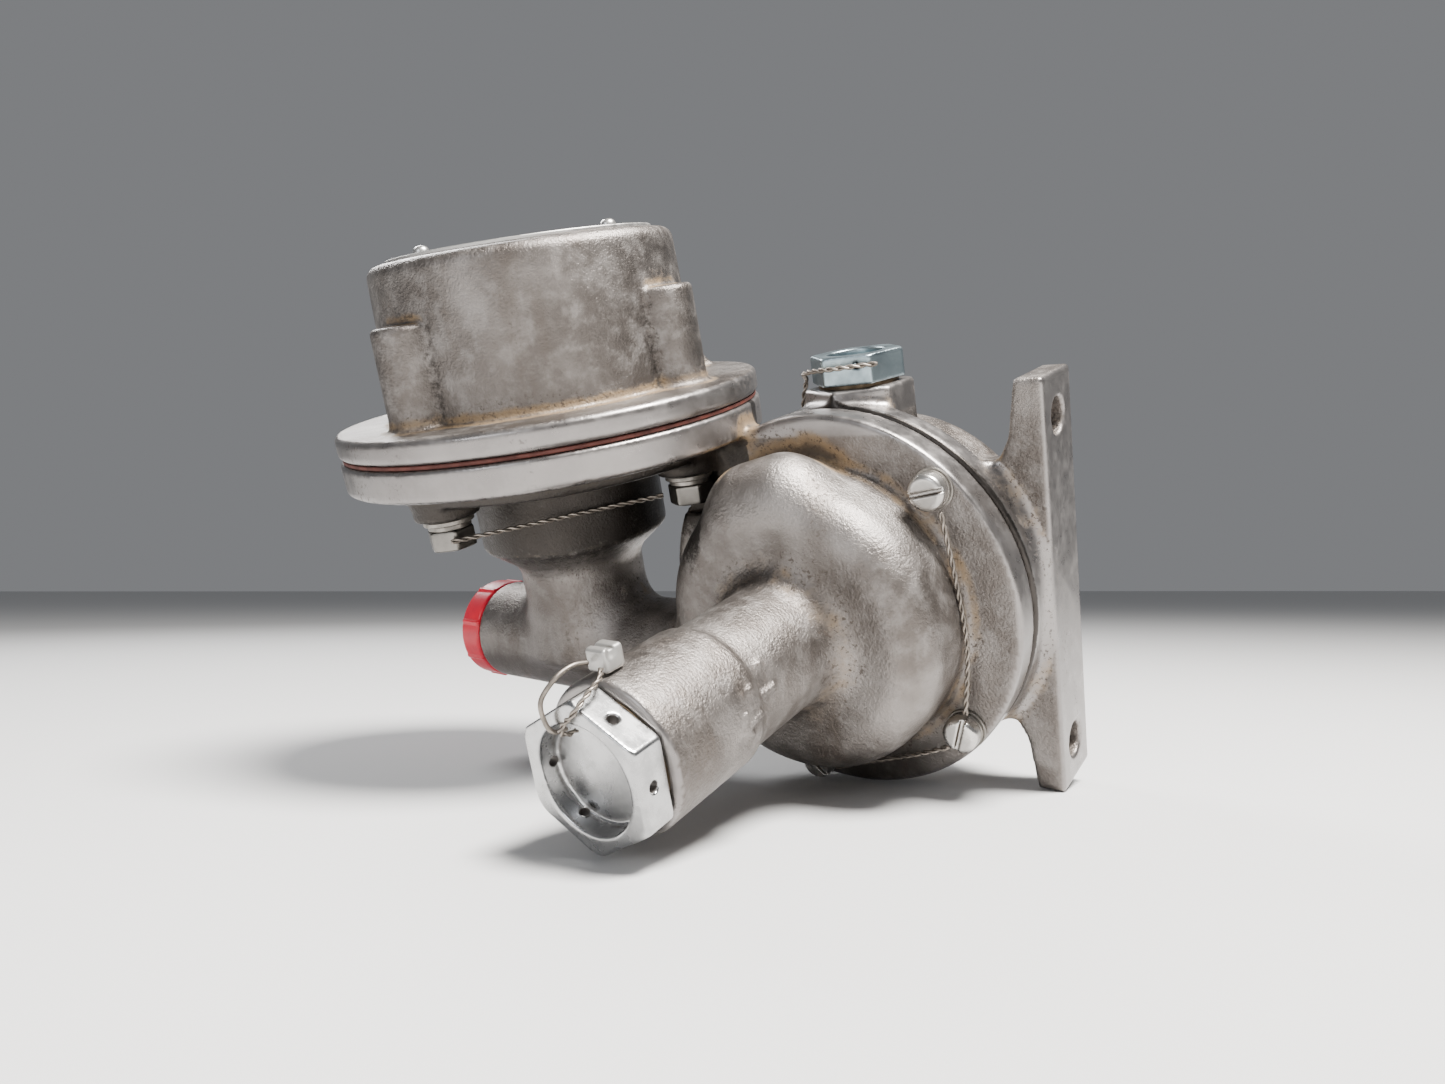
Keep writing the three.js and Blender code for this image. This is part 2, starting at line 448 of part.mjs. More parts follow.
// A spring washer is a ring with a narrow slanting gap in it.
function cutWasher(washer, z) {
  return washer.subtract(solid(toXYZ(new THREE.BoxGeometry(8, 0.7, 6), spinX(0.5), move(4.5, 0, z))));
}
pillarPlaces.forEach(([x, y], i) => {
  const seat = bolt.seat - faceGap;
  const headTop = seat - 2 * (1.3 + faceGap);
  const headLow = headTop - bolt.headHeight;
  const head = hexBar(bolt.acrossFlats, -headTop, -headLow, 0).transform(spinX(Math.PI).elements);
  const shank = solid(rod(bolt.shank, headTop - 1, pilot.joint + 16, 12));
  add(`pilot_bolt_${i + 1}`, head.add(shank).translate([x, y, 0]), finish.steel);
  const plain = place(ring(bolt.washer, bolt.hole, seat - 1.3, seat, 14), move(x, y, 0));
  add(`pilot_washer_${i + 1}`, plain, finish.steel);
  const split = solid(ring(bolt.washer - 1, bolt.hole, headTop + faceGap, seat - 1.3 - faceGap, 14));
  add(`pilot_spring_washer_${i + 1}`, cutWasher(split, headTop).translate([x, y, 0]), finish.steel);
});

// ---- locking wires and the seal ----------------------------------------------------------------
// Each wire is a smooth path of [x, y, z] places that stands clear of what it ties.
const wire = (name, path) => add(name, solid(tubeAlong(path.map((p) => new THREE.Vector3(...p)),
  wireRadius, path.length * 4)), finish.wire);
const headY = -(drum.frontFlange + 2 * thin + 0.5 * screw.headHeight);
const besideScrew = (i, degrees) => {
  const [dx, dz] = polar(screw.head + wireRadius + 0.5, degrees);
  return [screwPlaces[i][0] + dx, headY, screwPlaces[i][1] + dz];
};
const roundDome = (degrees, out = 1.8) => {
  const [x, z] = polar(drum.domeRadius + out, degrees);
  return [x, headY, z];
};
wire("cover_lockwire_1", [besideScrew(0, -60), roundDome(18), roundDome(-8), besideScrew(1, 75)]);
wire("cover_lockwire_2", [besideScrew(1, -130), roundDome(-60, 6), roundDome(-82, 6), besideScrew(2, -10)]);
const boltWireZ = bolt.seat - 5;
const besideBolt = (i, degrees, out = 1.2) => {
  const [dx, dy] = polar(bolt.acrossFlats / Math.sqrt(3) + wireRadius + out - 0.3, degrees);
  return [pillarPlaces[i][0] + dx, pillarPlaces[i][1] + dy, boltWireZ];
};
const [cupX, cupY] = polar(pilot.cupRadius + wireRadius + 1, -38);
wire("pilot_lockwire", [besideBolt(0, -40), [pilot.x + cupX, pilot.y + cupY, boltWireZ], besideBolt(1, -130)]);
const hexAway = (flats, degrees, z, out = 1) => {
  const [dx, dy] = polar(flats / Math.sqrt(3) + wireRadius + out, degrees);
  return [topPlug.x + dx, topPlug.y + dy, z];
};
const wireTop = topPlug.top - 2.5;
wire("top_plug_lockwire", [
  hexAway(topPlug.acrossFlats, -40, wireTop), hexAway(topPlug.acrossFlats, -85, wireTop),
  hexAway(topPlug.acrossFlats, -130, wireTop - 1), hexAway(topPlug.acrossFlats, -165, wireTop - 4),
  hexAway(topPlug.bossFlats, -170, topPlug.bossTop - 4), hexAway(topPlug.bossFlats, -170, topPlug.bossTop - 8),
]);
const sealY = -(tube.end - 4.4);
const sealZ = tube.bossRadius + 3.1;
const hexFace = -(hexBack + endPlug.height);
add("lead_seal", place(new THREE.BoxGeometry(5.6, 5.4, 5.2), move(-1.6, sealY, sealZ)), finish.lead);
wire("seal_wire_loop", [
  [-3, sealY - 3.5, sealZ], [-3.5, sealY - 7, sealZ + 0.8], [-4, hexFace + 2, sealZ],
  [-5.5, hexFace - 1.3, sealZ - 3.5],
  [-5.2, hexFace - 1.5, 12], [-4.6, hexFace - 0.4, 9.8], [-4.6, hexFace + 2.6, 9],
]);
wire("seal_wire_strand", [
  [0.4, sealY - 3.5, sealZ - 0.8], [3.2, sealY - 7, sealZ - 1], [3.6, hexFace + 2, sealZ - 2.2],
  [2.8, hexFace - 1.4, sealZ - 4.6], [-0.2, hexFace - 1.5, 12.8], [-2, hexFace - 1.1, 10.4],
  [-2.2, hexFace + 0.8, 9.2], [-2.2, hexFace + 3, 9],
]);

export default model;
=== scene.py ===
"""Looks of the diaphragm valve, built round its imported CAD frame.

Castings, plugs and fasteners are modelled as signed distance fields (millimetres, in "drum
coordinates": origin on the drum's axis at its joint, X towards the pad, -Y along the outlet tube,
Z up) and meshed with OpenVDB, so that every fillet is a smooth blend. Wires are swept and thin
rings are turned. Everything is then placed in the row frame, in metres.
"""
import json
import math

import bpy
import numpy as np
import openvdb
from mathutils import Matrix, Vector


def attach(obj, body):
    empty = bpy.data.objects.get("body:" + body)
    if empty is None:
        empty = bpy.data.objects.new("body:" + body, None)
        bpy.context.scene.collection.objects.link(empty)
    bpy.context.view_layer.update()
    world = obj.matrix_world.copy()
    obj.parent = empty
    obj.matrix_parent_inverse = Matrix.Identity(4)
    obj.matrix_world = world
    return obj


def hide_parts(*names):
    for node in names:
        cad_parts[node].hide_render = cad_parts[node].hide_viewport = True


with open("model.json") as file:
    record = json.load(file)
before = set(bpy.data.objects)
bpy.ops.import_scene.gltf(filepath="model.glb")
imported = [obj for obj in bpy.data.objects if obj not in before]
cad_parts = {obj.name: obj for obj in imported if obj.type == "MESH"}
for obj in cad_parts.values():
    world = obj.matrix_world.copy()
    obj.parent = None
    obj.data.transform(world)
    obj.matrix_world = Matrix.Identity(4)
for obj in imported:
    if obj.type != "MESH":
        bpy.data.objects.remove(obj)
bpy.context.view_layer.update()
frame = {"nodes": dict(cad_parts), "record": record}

# ---- driving dimensions, mm in drum coordinates -------------------------------------------------
MM = 0.001
PAD_X, PAD_NEAR, PAD_FAR, PAD_HALF, PAD_TIP = 52.6, 8.3, 29.0, 54.0, 7.1
PAD_HOLE, PAD_HOLE_Z = 4.55, 43.2
SHIFT = np.array([-PAD_X, -(PAD_NEAR + PAD_FAR) / 2, 0.0])  # drum coordinates to the row frame
JOINT = 0.55  # from the rubber's middle to a flange face
GAP = 0.05  # between metal faces that touch
DRUM, FRONT_FLANGE, REAR_FLANGE = 50.8, 9.8, 8.1
DISH = DRUM - 17.6  # the hollows on both sides of the drum's rubber
DOME, DOME_FRONT, DOME_ROUND, WALL = 37.2, 33.8, 12.0, 4.0
BACK, BACK_DEPTH = 43.0, 40.0
SCREW_CIRCLE, SCREW_ANGLES = 45.6, (45.4, -39.4, -99.5, -131.0)
TUBE, TUBE_BORE, TUBE_END = 15.7, 10.5, 94.8
BOSS, BOSS_START = 16.8, 66.8
HEX_FLATS, HEX_BACK, HEX_FACE = 29.1, 95.8, 103.6
RECESS, RECESS_DEPTH, THREAD = 11.7, 5.0, 12.2
PLUG_X, PLUG_Y, PLUG_FLATS, PLUG_TOP, PLUG_TURN = 1.0, 16.2, 22.0, 62.5, -16.0
PLUG_BOSS_FLATS, PLUG_BOSS_TOP = 25.4, 54.0
PX, PY = -78.0, -20.3  # the pilot chamber's axis
CHAMBER, LOWER, SPLIT, UPPER = 59.0, 45.1, 54.05, 60.9
BOWL, BOWL_TOP_R, BOWL_TOP = 43.0, 41.3, 101.9
PILLARS, PILLAR_CIRCLE, PILLAR, PILLAR_TOP = (-94.0, 10.0, 138.0), 41.0, 8.6, 86.5
CUP, CUP_BOTTOM, NECK, NECK_TOP, CLAMP = 27.0, 21.0, 18.0, 14.0, 34.0
TEE_Z, TEE, TEE_BORE, PORT_X, CAP_WIDTH, CAP_SKIN = -14.3, 15.3, 9.5, -123.8, 8.1, 1.3
BOLT_SEAT, BOLT_FLATS, BOLT_HEAD, BOLT_SHANK, BOLT_WASHER = 37.0, 11.1, 5.4, 3.0, 1.3
BOLT_TIP = SPLIT + 16
SCREW_HEAD, SCREW_SHANK, SCREW_TALL, WASHER = 4.5, 2.3, 3.8, 0.8
LUMP_Y, LUMP = -22.0, 11.6
PLATE_Z, PLATE_R, PLATE_THICK, DRIVE_CIRCLE = BOWL_TOP + GAP, 36.0, 1.0, 33.0
SHEET = 0.5  # half of a rubber sheet's thickness
WIRE = 0.65


def on_circle(radius, degrees):
    a = math.radians(degrees)
    return radius * math.cos(a), radius * math.sin(a)


PILLAR_AT = [(PX + x, PY + y) for x, y in (on_circle(PILLAR_CIRCLE, a) for a in PILLARS)]
SCREW_AT = [on_circle(SCREW_CIRCLE, a) for a in SCREW_ANGLES]
DRIVE_AT = [(PX + x, PY + y) for x, y in (on_circle(DRIVE_CIRCLE, a) for a in (0, 90, 180, 270))]
BODIES = frame["record"]["behaviour"]["bodies"]
BODY_OF = {node: body for body, nodes in BODIES.items() for node in nodes}


# ---- signed distance fields ---------------------------------------------------------------------
def smin(a, b, k):
    """Union with a fillet of about k."""
    h = np.maximum(k - np.abs(a - b), 0) / k
    return np.minimum(a, b) - h * h * k * 0.25


def smax(a, b, k=0.6):
    """Intersection with a softened edge of about k."""
    return -smin(-a, -b, k)


def cut(a, tool, k=0.6):
    return smax(a, -tool, k)


def chamfer(u, v, across=0.7, along=0.7):
    """A slanting plane that takes the corner off two box distances."""
    return u * across + v * along


def rounded(u, v, r):
    """Two box distances joined round a corner of radius r."""
    u, v = u + r, v + r
    return np.hypot(np.maximum(u, 0), np.maximum(v, 0)) + np.minimum(np.maximum(u, v), 0) - r


def slab(t, lo, hi):
    return np.abs(t - (lo + hi) / 2) - (hi - lo) / 2


def disc(p, axis, centre, radius, lo, hi, r=0.4):
    """A rounded cylinder along an axis (0, 1, 2); centre gives the other two coordinates."""
    a, b = [i for i in range(3) if i != axis]
    radial = np.hypot(p[a] - centre[0], p[b] - centre[1]) - radius
    return rounded(radial, slab(p[axis], lo, hi), r)


def cone(p, axis, centre, r_lo, r_hi, lo, hi, r=0.4):
    """A cylinder whose radius changes evenly from lo to hi."""
    a, b = [i for i in range(3) if i != axis]
    t = np.clip((p[axis] - lo) / (hi - lo), 0, 1)
    radial = np.hypot(p[a] - centre[0], p[b] - centre[1]) - (r_lo + (r_hi - r_lo) * t)
    return rounded(radial * math.cos(math.atan2(abs(r_hi - r_lo), hi - lo)), slab(p[axis], lo, hi), r)


def hexagon(p, axis, centre, flats, lo, hi, turn=0.0, r=0.3):
    """A hexagonal bar. Its corners point at turn + 30 + 60 k degrees from the first cross axis."""
    a, b = [i for i in range(3) if i != axis]
    u, v = p[a] - centre[0], p[b] - centre[1]
    side = None
    for k in range(3):
        c, s = on_circle(1, turn + 60 * k)
        d = np.abs(u * c + v * s) - flats / 2
        side = d if side is None else smax(side, d, 0.5)
    return rounded(side, slab(p[axis], lo, hi), r)


def capsule(p, a, b, radius):
    a, b = np.array(a), np.array(b)
    ab = b - a
    t = np.clip(sum((p[i] - a[i]) * ab[i] for i in range(3)) / (ab @ ab), 0, 1)
    return np.sqrt(sum((p[i] - a[i] - ab[i] * t) ** 2 for i in range(3))) - radius


def polygon(u, v, points):
    """Signed distance to a closed outline in the u, v plane."""
    best, inside = np.full(np.broadcast(u, v).shape, 1e9), np.zeros(np.broadcast(u, v).shape, bool)
    for (x0, y0), (x1, y1) in zip(points, points[1:] + points[:1]):
        ex, ey = x1 - x0, y1 - y0
        t = np.clip(((u - x0) * ex + (v - y0) * ey) / (ex * ex + ey * ey), 0, 1)
        best = np.minimum(best, np.hypot(u - x0 - ex * t, v - y0 - ey * t))
        cross = (y0 > v) != (y1 > v)
        safe = np.where(cross, (y1 - y0) if y1 != y0 else 1.0, 1.0)
        inside ^= cross & (u < ex * (v - y0) / safe + x0)
    return np.where(inside, -best, best)


# ---- meshes -------------------------------------------------------------------------------------
def sample(field, lo, step, pts):
    """Trilinear values of a gridded field at points."""
    q = (pts - lo) / step
    i = np.clip(np.floor(q).astype(int), 0, np.array(field.shape) - 2)
    f = np.clip(q - i, 0, 1)
    out = 0
    for dx in (0, 1):
        for dy in (0, 1):
            for dz in (0, 1):
                wx, wy, wz = (f[:, k] if d else 1 - f[:, k] for k, d in enumerate((dx, dy, dz)))
                out = out + wx * wy * wz * field[i[:, 0] + dx, i[:, 1] + dy, i[:, 2] + dz]
    return out


def carve(name, shape, lo, hi, step, machined=None, node=None, darkening=None):
    """Meshes a field inside a box and gives its points a cavity, a machined and a darkening value."""
    step = step * 1.0
    lo = np.array(lo, float) - 2 * step
    n = np.ceil((np.array(hi) + 2 * step - lo) / step).astype(int) + 1
    p = [np.arange(n[i], dtype=np.float32) * np.float32(step) + np.float32(lo[i]) for i in range(3)]
    p = [p[0][:, None, None], p[1][None, :, None], p[2][None, None, :]]
    field = np.ascontiguousarray(np.broadcast_to(shape(p), tuple(n)), dtype=np.float32)
    grid = openvdb.FloatGrid(float(3 * step))
    grid.copyFromArray(np.clip(field, -3 * step, 3 * step))
    pts, tris, quads = grid.convertToPolygons(isovalue=0.0, adaptivity=0.0)
    pts = pts.astype(float) * step + lo
    grad = np.stack([sample(field, lo, step, pts + d) - sample(field, lo, step, pts - d)
                     for d in np.eye(3) * step * 0.7], 1)
    normal = grad / np.maximum(np.linalg.norm(grad, axis=1, keepdims=True), 1e-9)
    pts = pts - normal * sample(field, lo, step, pts)[:, None] * 0.6
    # cavity: how closely other surfaces surround each point, like ambient occlusion; the materials use it
    # for dirt and painted shade in hollows
    cavity = np.zeros(len(pts))
    for reach in (1.5, 3.5, 7.0):
        there = pts + normal * reach
        outside = np.linalg.norm(there - np.clip(there, lo, lo + (n - 1) * step), axis=1)
        cavity += np.clip(1 - (sample(field, lo, step, there) + outside) / reach, 0, 1) / 3
    faces = [tuple(f[::-1]) for f in quads] + [tuple(f[::-1]) for f in tris]
    obj = shown(name, pts, faces, node=node)
    paint(obj, "cavity", cavity)
    paint(obj, "machined", machined(pts, normal) if machined else np.zeros(len(pts)))
    paint(obj, "darkening", darkening(pts, normal) if darkening else np.zeros(len(pts)))
    return obj


def shown(name, pts, faces, node=None, body="housing"):
    pts = np.asarray(pts, float)
    fan = np.array([(f[0], f[k], f[k + 1]) for f in faces for k in range(1, len(f) - 1)])
    a, b, c = (pts[fan[:, k]] for k in range(3))
    if np.einsum("ij,ij->i", a, np.cross(b, c)).sum() < 0:
        faces = [tuple(f)[::-1] for f in faces]
    mesh = bpy.data.meshes.new(name)
    mesh.from_pydata((np.asarray(pts, float) + SHIFT) * MM, [], faces)
    mesh.update()
    mesh.shade_smooth()
    obj = bpy.data.objects.new(name, mesh)
    bpy.context.scene.collection.objects.link(obj)
    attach(obj, BODY_OF.get(node, body))
    if node:
        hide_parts(node)
    return obj


def paint(obj, name, values):
    layer = obj.data.attributes.new(name, "FLOAT", "POINT")
    layer.data.foreach_set("value", np.asarray(values, np.float32))


def turned(name, profile, axis, centre, segments, node):
    """A closed profile of (radius, height) points turned about an axis of the drum frame."""
    a = np.arange(segments) * 2 * np.pi / segments
    prof = np.array(profile, float)
    m = len(prof)
    ring = np.stack([np.outer(np.cos(a), prof[:, 0]), np.outer(np.sin(a), prof[:, 0])], -1)
    pts = np.zeros((segments, m, 3))
    order = {2: (0, 1, 2), 1: (2, 0, 1), 0: (1, 2, 0)}[axis]
    pts[..., order[0]] = ring[..., 0] + centre[0]
    pts[..., order[1]] = ring[..., 1] + centre[1]
    pts[..., order[2]] = prof[:, 1]
    faces = []
    for i in range(segments):
        here, after = i * m, (i + 1) % segments * m
        faces += [(here + j, after + j, after + (j + 1) % m, here + (j + 1) % m) for j in range(m)]
    obj = shown(name, pts.reshape(-1, 3), faces, node=node)
    obj.data.set_sharp_from_angle(angle=math.radians(38))
    return obj


def ring_profile(inner, outer, lo, hi, edge):
    """The section of a flat ring whose two outer corners are broken."""
    return [(inner, lo), (outer - edge, lo), (outer, lo + edge),
            (outer, hi - edge), (outer - edge, hi), (inner, hi)]


def smooth_path(points, count):
    """Catmull-Rom through the points, as evenly counted places."""
    p = np.array(points, float)
    p = np.vstack([2 * p[0] - p[1], p, 2 * p[-1] - p[-2]])
    t = np.linspace(0, len(p) - 3 - 1e-9, count)
    i = t.astype(int)
    f = (t - i)[:, None]
    a, b, c, d = p[i], p[i + 1], p[i + 2], p[i + 3]
    return 0.5 * (2 * b + (c - a) * f + (2 * a - 5 * b + 4 * c - d) * f**2 + (3 * b - a - 3 * c + d) * f**3)


def wire_path(points, per_mm, more=0):
    """A smooth path through the points, with so many places to the millimetre."""
    rough = smooth_path(points, 60)
    length = np.linalg.norm(np.diff(rough, axis=0), axis=1).sum()
    return smooth_path(points, int(length * per_mm) + more)


def swept(path, radius, sides):
    """Points and faces of a round bar along a path, with closed ends, and the rings it is made of."""
    tangent = np.gradient(path, axis=0)
    tangent /= np.linalg.norm(tangent, axis=1, keepdims=True)
    up = np.cross(tangent[0], [0.3, 0.2, 0.9])
    up /= np.linalg.norm(up)
    rows = []
    for c, t in zip(path, tangent):
        up = up - t * (up @ t)
        up /= np.linalg.norm(up)
        side = np.cross(t, up)
        a = np.arange(sides) * 2 * np.pi / sides
        rows.append(c + radius * (np.outer(np.cos(a), up) + np.outer(np.sin(a), side)))
    n = len(path)
    faces = []
    for here in range(0, (n - 1) * sides, sides):
        after = here + sides
        faces += [(here + j, here + (j + 1) % sides, after + (j + 1) % sides, after + j)
                  for j in range(sides)]
    faces += [tuple(range(sides))[::-1], tuple((n - 1) * sides + j for j in range(sides))]
    return np.vstack(rows), faces, rows


def twisted(name, points, node, pitch=5.5, strand=0.36):
    """Two strands laid round one another along a path."""
    path = wire_path(points, 3.0)
    rows = swept(path, 1.0, 4)[2]
    along = np.concatenate([[0], np.cumsum(np.linalg.norm(np.diff(path, axis=0), axis=1))])
    allp, allf = [], []
    up = np.array([r[0] for r in rows]) - path
    side = np.array([r[1] for r in rows]) - path
    for phase in (0, np.pi):
        a = along / pitch * 2 * np.pi + phase
        helix = path + strand * (np.cos(a)[:, None] * up + np.sin(a)[:, None] * side)
        pts, faces, _ = swept(helix, strand, 8)
        base = sum(len(q) for q in allp)
        allf += [tuple(i + base for i in f) for f in faces]
        allp.append(pts)
    return shown(name, np.vstack(allp), allf, node=node)


def single(name, points, node, radius=0.5):
    """One plain bar along a path."""
    pts, faces, _ = swept(wire_path(points, 2.5, 8), radius, 10)
    return shown(name, pts, faces, node=node)


# ---- castings -----------------------------------------------------------------------------------
# Raised foundry marks on the tube, as pairs of (degrees round it, place along it): a dot, a bar,
# another dot and the three strokes of an arrow.
MARKS = [((31, -61.8), (31, -62.4)), ((9, -60.5), (9, -65.5)), ((20, -69.0), (20, -69.8)),
         ((0, -68.0), (-3, -74.5)), ((-3, -74.5), (7, -73.0)), ((-3, -74.5), (-10, -71.5))]


def on_tube(degrees, y):
    x, z = on_circle((BOSS if y < -BOSS_START else TUBE) + 0.25, degrees)
    return x, y, z


def valve_body(p):
    x, y, z = p
    drum, tee, pilot = (0.0, 0.0), (PY, TEE_Z), (PX, PY)
    radial = np.hypot(x, z)
    flange = disc(p, 1, drum, DRUM, -FRONT_FLANGE, -JOINT, 1.4)
    flange = smax(flange, chamfer(radial - DRUM + 0.9, y + JOINT), 0.3)
    dome = disc(p, 1, drum, DOME + 0.5, -DOME_FRONT, -JOINT, DOME_ROUND - 2)
    body = smin(flange, dome, 3)
    body = smin(body, disc(p, 1, drum, TUBE, -TUBE_END, -20, 0.6), 8)
    body = smin(body, disc(p, 1, drum, BOSS, -TUBE_END, -BOSS_START, 1.0), 2)
    pipe = disc(p, 0, tee, TEE, PORT_X + CAP_WIDTH + 0.3, -24, 0.7)
    neck = disc(p, 2, pilot, NECK, TEE_Z, CUP_BOTTOM + 6, 1)
    cup = np.minimum(disc(p, 2, pilot, CUP, CUP_BOTTOM, LOWER + 3, 0.6),
                     cone(p, 2, pilot, NECK, CUP, NECK_TOP, CUP_BOTTOM, 0.1))
    lower = smin(smin(pipe, neck, 8), cup, 2.5)
    step = disc(p, 2, pilot, 48.0, 41.0, LOWER + 3, 1.2)
    rim = disc(p, 2, pilot, CHAMBER, LOWER, SPLIT - JOINT, 0.9)
    rim = smax(rim, chamfer(np.hypot(x - PX, y - PY) - CHAMBER + 0.7, LOWER - z), 0.5)
    rim = smax(rim, chamfer(np.hypot(x - PX, y - PY) - CHAMBER + 0.5, z - SPLIT + JOINT), 0.3)
    lower = smin(smin(lower, step, 4), rim, 2.5)
    for bx, by in PILLAR_AT:
        lower = smin(lower, disc(p, 2, (bx, by), 8.5, BOLT_SEAT, LOWER + 3, 1.0), 2.5)
    lump = capsule(p, (-1.5, LUMP_Y, 32.4), (-11, LUMP_Y, 30), LUMP)
    body = smin(smin(body, lump, 6), lower, 4)
    for a, b in MARKS:
        body = smin(body, capsule(p, on_tube(*a), on_tube(*b), 0.75), 0.6)
    body = np.minimum(body, disc(p, 0, tee, TEE - CAP_SKIN - 0.3, PORT_X + CAP_SKIN + 0.3, -90, 0.5))
    # the two joint faces and the cap's spigot stay flat and clear, whatever the fillets add
    body = cut(body, np.maximum(radial - DRUM - 0.35, -JOINT - y), 0.3)
    body = smax(body, z - (SPLIT - JOINT), 0.3)
    clear = disc(p, 0, tee, 40, PORT_X - 9, PORT_X + CAP_WIDTH + 0.25, 0.1)
    spigot = np.hypot(y - PY, z - TEE_Z) - (TEE - CAP_SKIN - 0.3)
    body = cut(body, np.maximum(clear, -spigot), 0.2)
    body = cut(body, disc(p, 1, drum, DISH, -(DOME_FRONT - DOME_ROUND - 2), 1, 1), 0.5)
    body = cut(body, disc(p, 1, drum, DOME - DOME_ROUND, -(DOME_FRONT - WALL), -10, 3), 2)
    body = cut(body, disc(p, 1, drum, TUBE_BORE, -TUBE_END - 1, -20, 0), 0.5)
    body = cut(body, disc(p, 1, drum, 13.7, -DOME_FRONT - 1, -20, 0), 0.5)
    body = cut(body, disc(p, 1, drum, THREAD + 0.3, -TUBE_END - 1, -TUBE_END + 12, 0), 0.5)
    body = cut(body, disc(p, 0, tee, TEE_BORE, PORT_X - 1, -30, 0), 0.8)
    body = cut(body, disc(p, 2, pilot, 7, TEE_Z, 3, 0), 0.3)
    body = cut(body, disc(p, 2, pilot, 11, 0, 30, 0), 0.3)
    body = cut(body, disc(p, 2, pilot, CUP - WALL, CUP_BOTTOM + 4, SPLIT, 1), 0.5)
    body = cut(body, disc(p, 2, pilot, CLAMP, SPLIT - 6, SPLIT + 1, 0.5), 0.5)
    for bx, by in PILLAR_AT:
        body = cut(body, disc(p, 2, (bx, by), 8.0, 24, BOLT_SEAT, 0.3), 0.5)
    return body


def from_drum(pts):
    return np.hypot(pts[:, 0], pts[:, 2])


def from_pilot(pts):
    return np.hypot(pts[:, 0] - PX, pts[:, 1] - PY)


def valve_body_machined(pts, n):
    rim = (from_drum(pts) > DRUM - 0.7) & (pts[:, 1] > -FRONT_FLANGE - 0.5)
    chamber = (from_pilot(pts) > CHAMBER - 0.9) & (pts[:, 2] > LOWER)
    end = pts[:, 1] < -TUBE_END + 0.4
    return (rim | chamber | end).astype(float)


def joint_oil(pts, n):
    """Dark oil beside the drum's joint."""
    near = (from_drum(pts) > DRUM - 3) & (np.abs(pts[:, 1]) < 5)
    return near * np.clip(1.7 - (np.abs(pts[:, 1]) - JOINT) / 1.1, 0, 1)


def body_oil_and_shade(pts, n):
    """The joint's oil, and painted shade under the pilot chamber."""
    # painted shade: darker on the cup and neck under the pilot chamber, kept off the dome
    under = np.clip((pts[:, 2] - 10) / 14, 0, 1) * np.clip((LOWER + 1.5 - pts[:, 2]) / 2, 0, 1)
    under = under * (from_pilot(pts) < CHAMBER + 1)
    clear_of_dome = np.clip((pts[:, 1] + 34 + np.maximum(-pts[:, 0] - 20, 0) * 2.5) / 8, 0, 1)
    return np.maximum(joint_oil(pts, n), under * (pts[:, 0] < -18) * clear_of_dome * 0.85)


def rear_housing(p):
    x, y, z = p
    drum = (0.0, 0.0)
    flange = disc(p, 1, drum, DRUM, JOINT, REAR_FLANGE, 1.2)
    flange = smax(flange, chamfer(np.hypot(x, z) - DRUM + 0.9, JOINT - y), 0.3)
    body = smin(flange, disc(p, 1, drum, BACK, JOINT, BACK_DEPTH, 8), 2.5)
    inner, h = PAD_X - PAD_TIP, PAD_HALF
    half = [(inner, h), (inner - 2, h - 14), (inner - 4.5, h - 19), (inner - 13, h - 24), (24, 23)]
    outline = [(PAD_X, -h), (PAD_X, h)] + half + [(a, -b) for a, b in reversed(half)]
    flat = polygon(x[:, 0, :], z[0, 0, :][None, :], outline)[:, None, :]
    web = rounded(flat, slab(y, PAD_NEAR, PAD_FAR), 0.9)
    body = smin(body, web, 5)
    body = smin(body, hexagon(p, 2, (PLUG_X, PLUG_Y), PLUG_BOSS_FLATS, 34, PLUG_BOSS_TOP, 0, 0.8), 3)
    body = smax(body, JOINT - y, 0.3)
    body = smax(body, x - PAD_X, 0.4)
    for side in (1, -1):
        body = cut(body, disc(p, 0, ((PAD_NEAR + PAD_FAR) / 2, side * PAD_HOLE_Z), PAD_HOLE, 30, 60, 0), 0.7)
    hollow = disc(p, 1, drum, DISH, -1, 12, 0.5)
    hollow = np.minimum(hollow, disc(p, 1, drum, BACK - WALL, 11, BACK_DEPTH - WALL, 5))
    guide = np.maximum(np.hypot(x, z) - 9, BACK_DEPTH - 14 - y)
    hollow = cut(hollow, guide, 0.5)
    hollow = np.minimum(hollow, disc(p, 1, drum, 3.9, 20, BACK_DEPTH - WALL - 1, 0))
    body = cut(body, hollow, 0.5)
    return cut(body, disc(p, 2, (PLUG_X, PLUG_Y), 8.3, 34, PLUG_BOSS_TOP + 1, 0), 0.5)


def rear_machined(pts, n):
    rim = (from_drum(pts) > DRUM - 0.7) & (pts[:, 1] < REAR_FLANGE)
    pad = pts[:, 0] > PAD_X - 0.5
    hexed = (pts[:, 2] > 46.5) & (np.hypot(pts[:, 0] - PLUG_X, pts[:, 1] - PLUG_Y) < 15.5)
    return np.clip(rim + pad + hexed * 0.8, 0, 1)


def cover_oil(pts, n):
    """Dark dirt in the corners between the pillars and the bowl."""
    bowl = np.abs(from_pilot(pts) - BOWL)
    darkening = np.zeros(len(pts))
    for bx, by in PILLAR_AT:
        pillar = np.abs(np.hypot(pts[:, 0] - bx, pts[:, 1] - by) - PILLAR - 1.2)
        corner = np.clip(1.0 - np.hypot(bowl, pillar) / 3.0, 0, 1)
        darkening = np.maximum(darkening, corner * (pts[:, 2] < PILLAR_TOP + 1) * (pts[:, 2] > UPPER))
    return darkening * 0.62


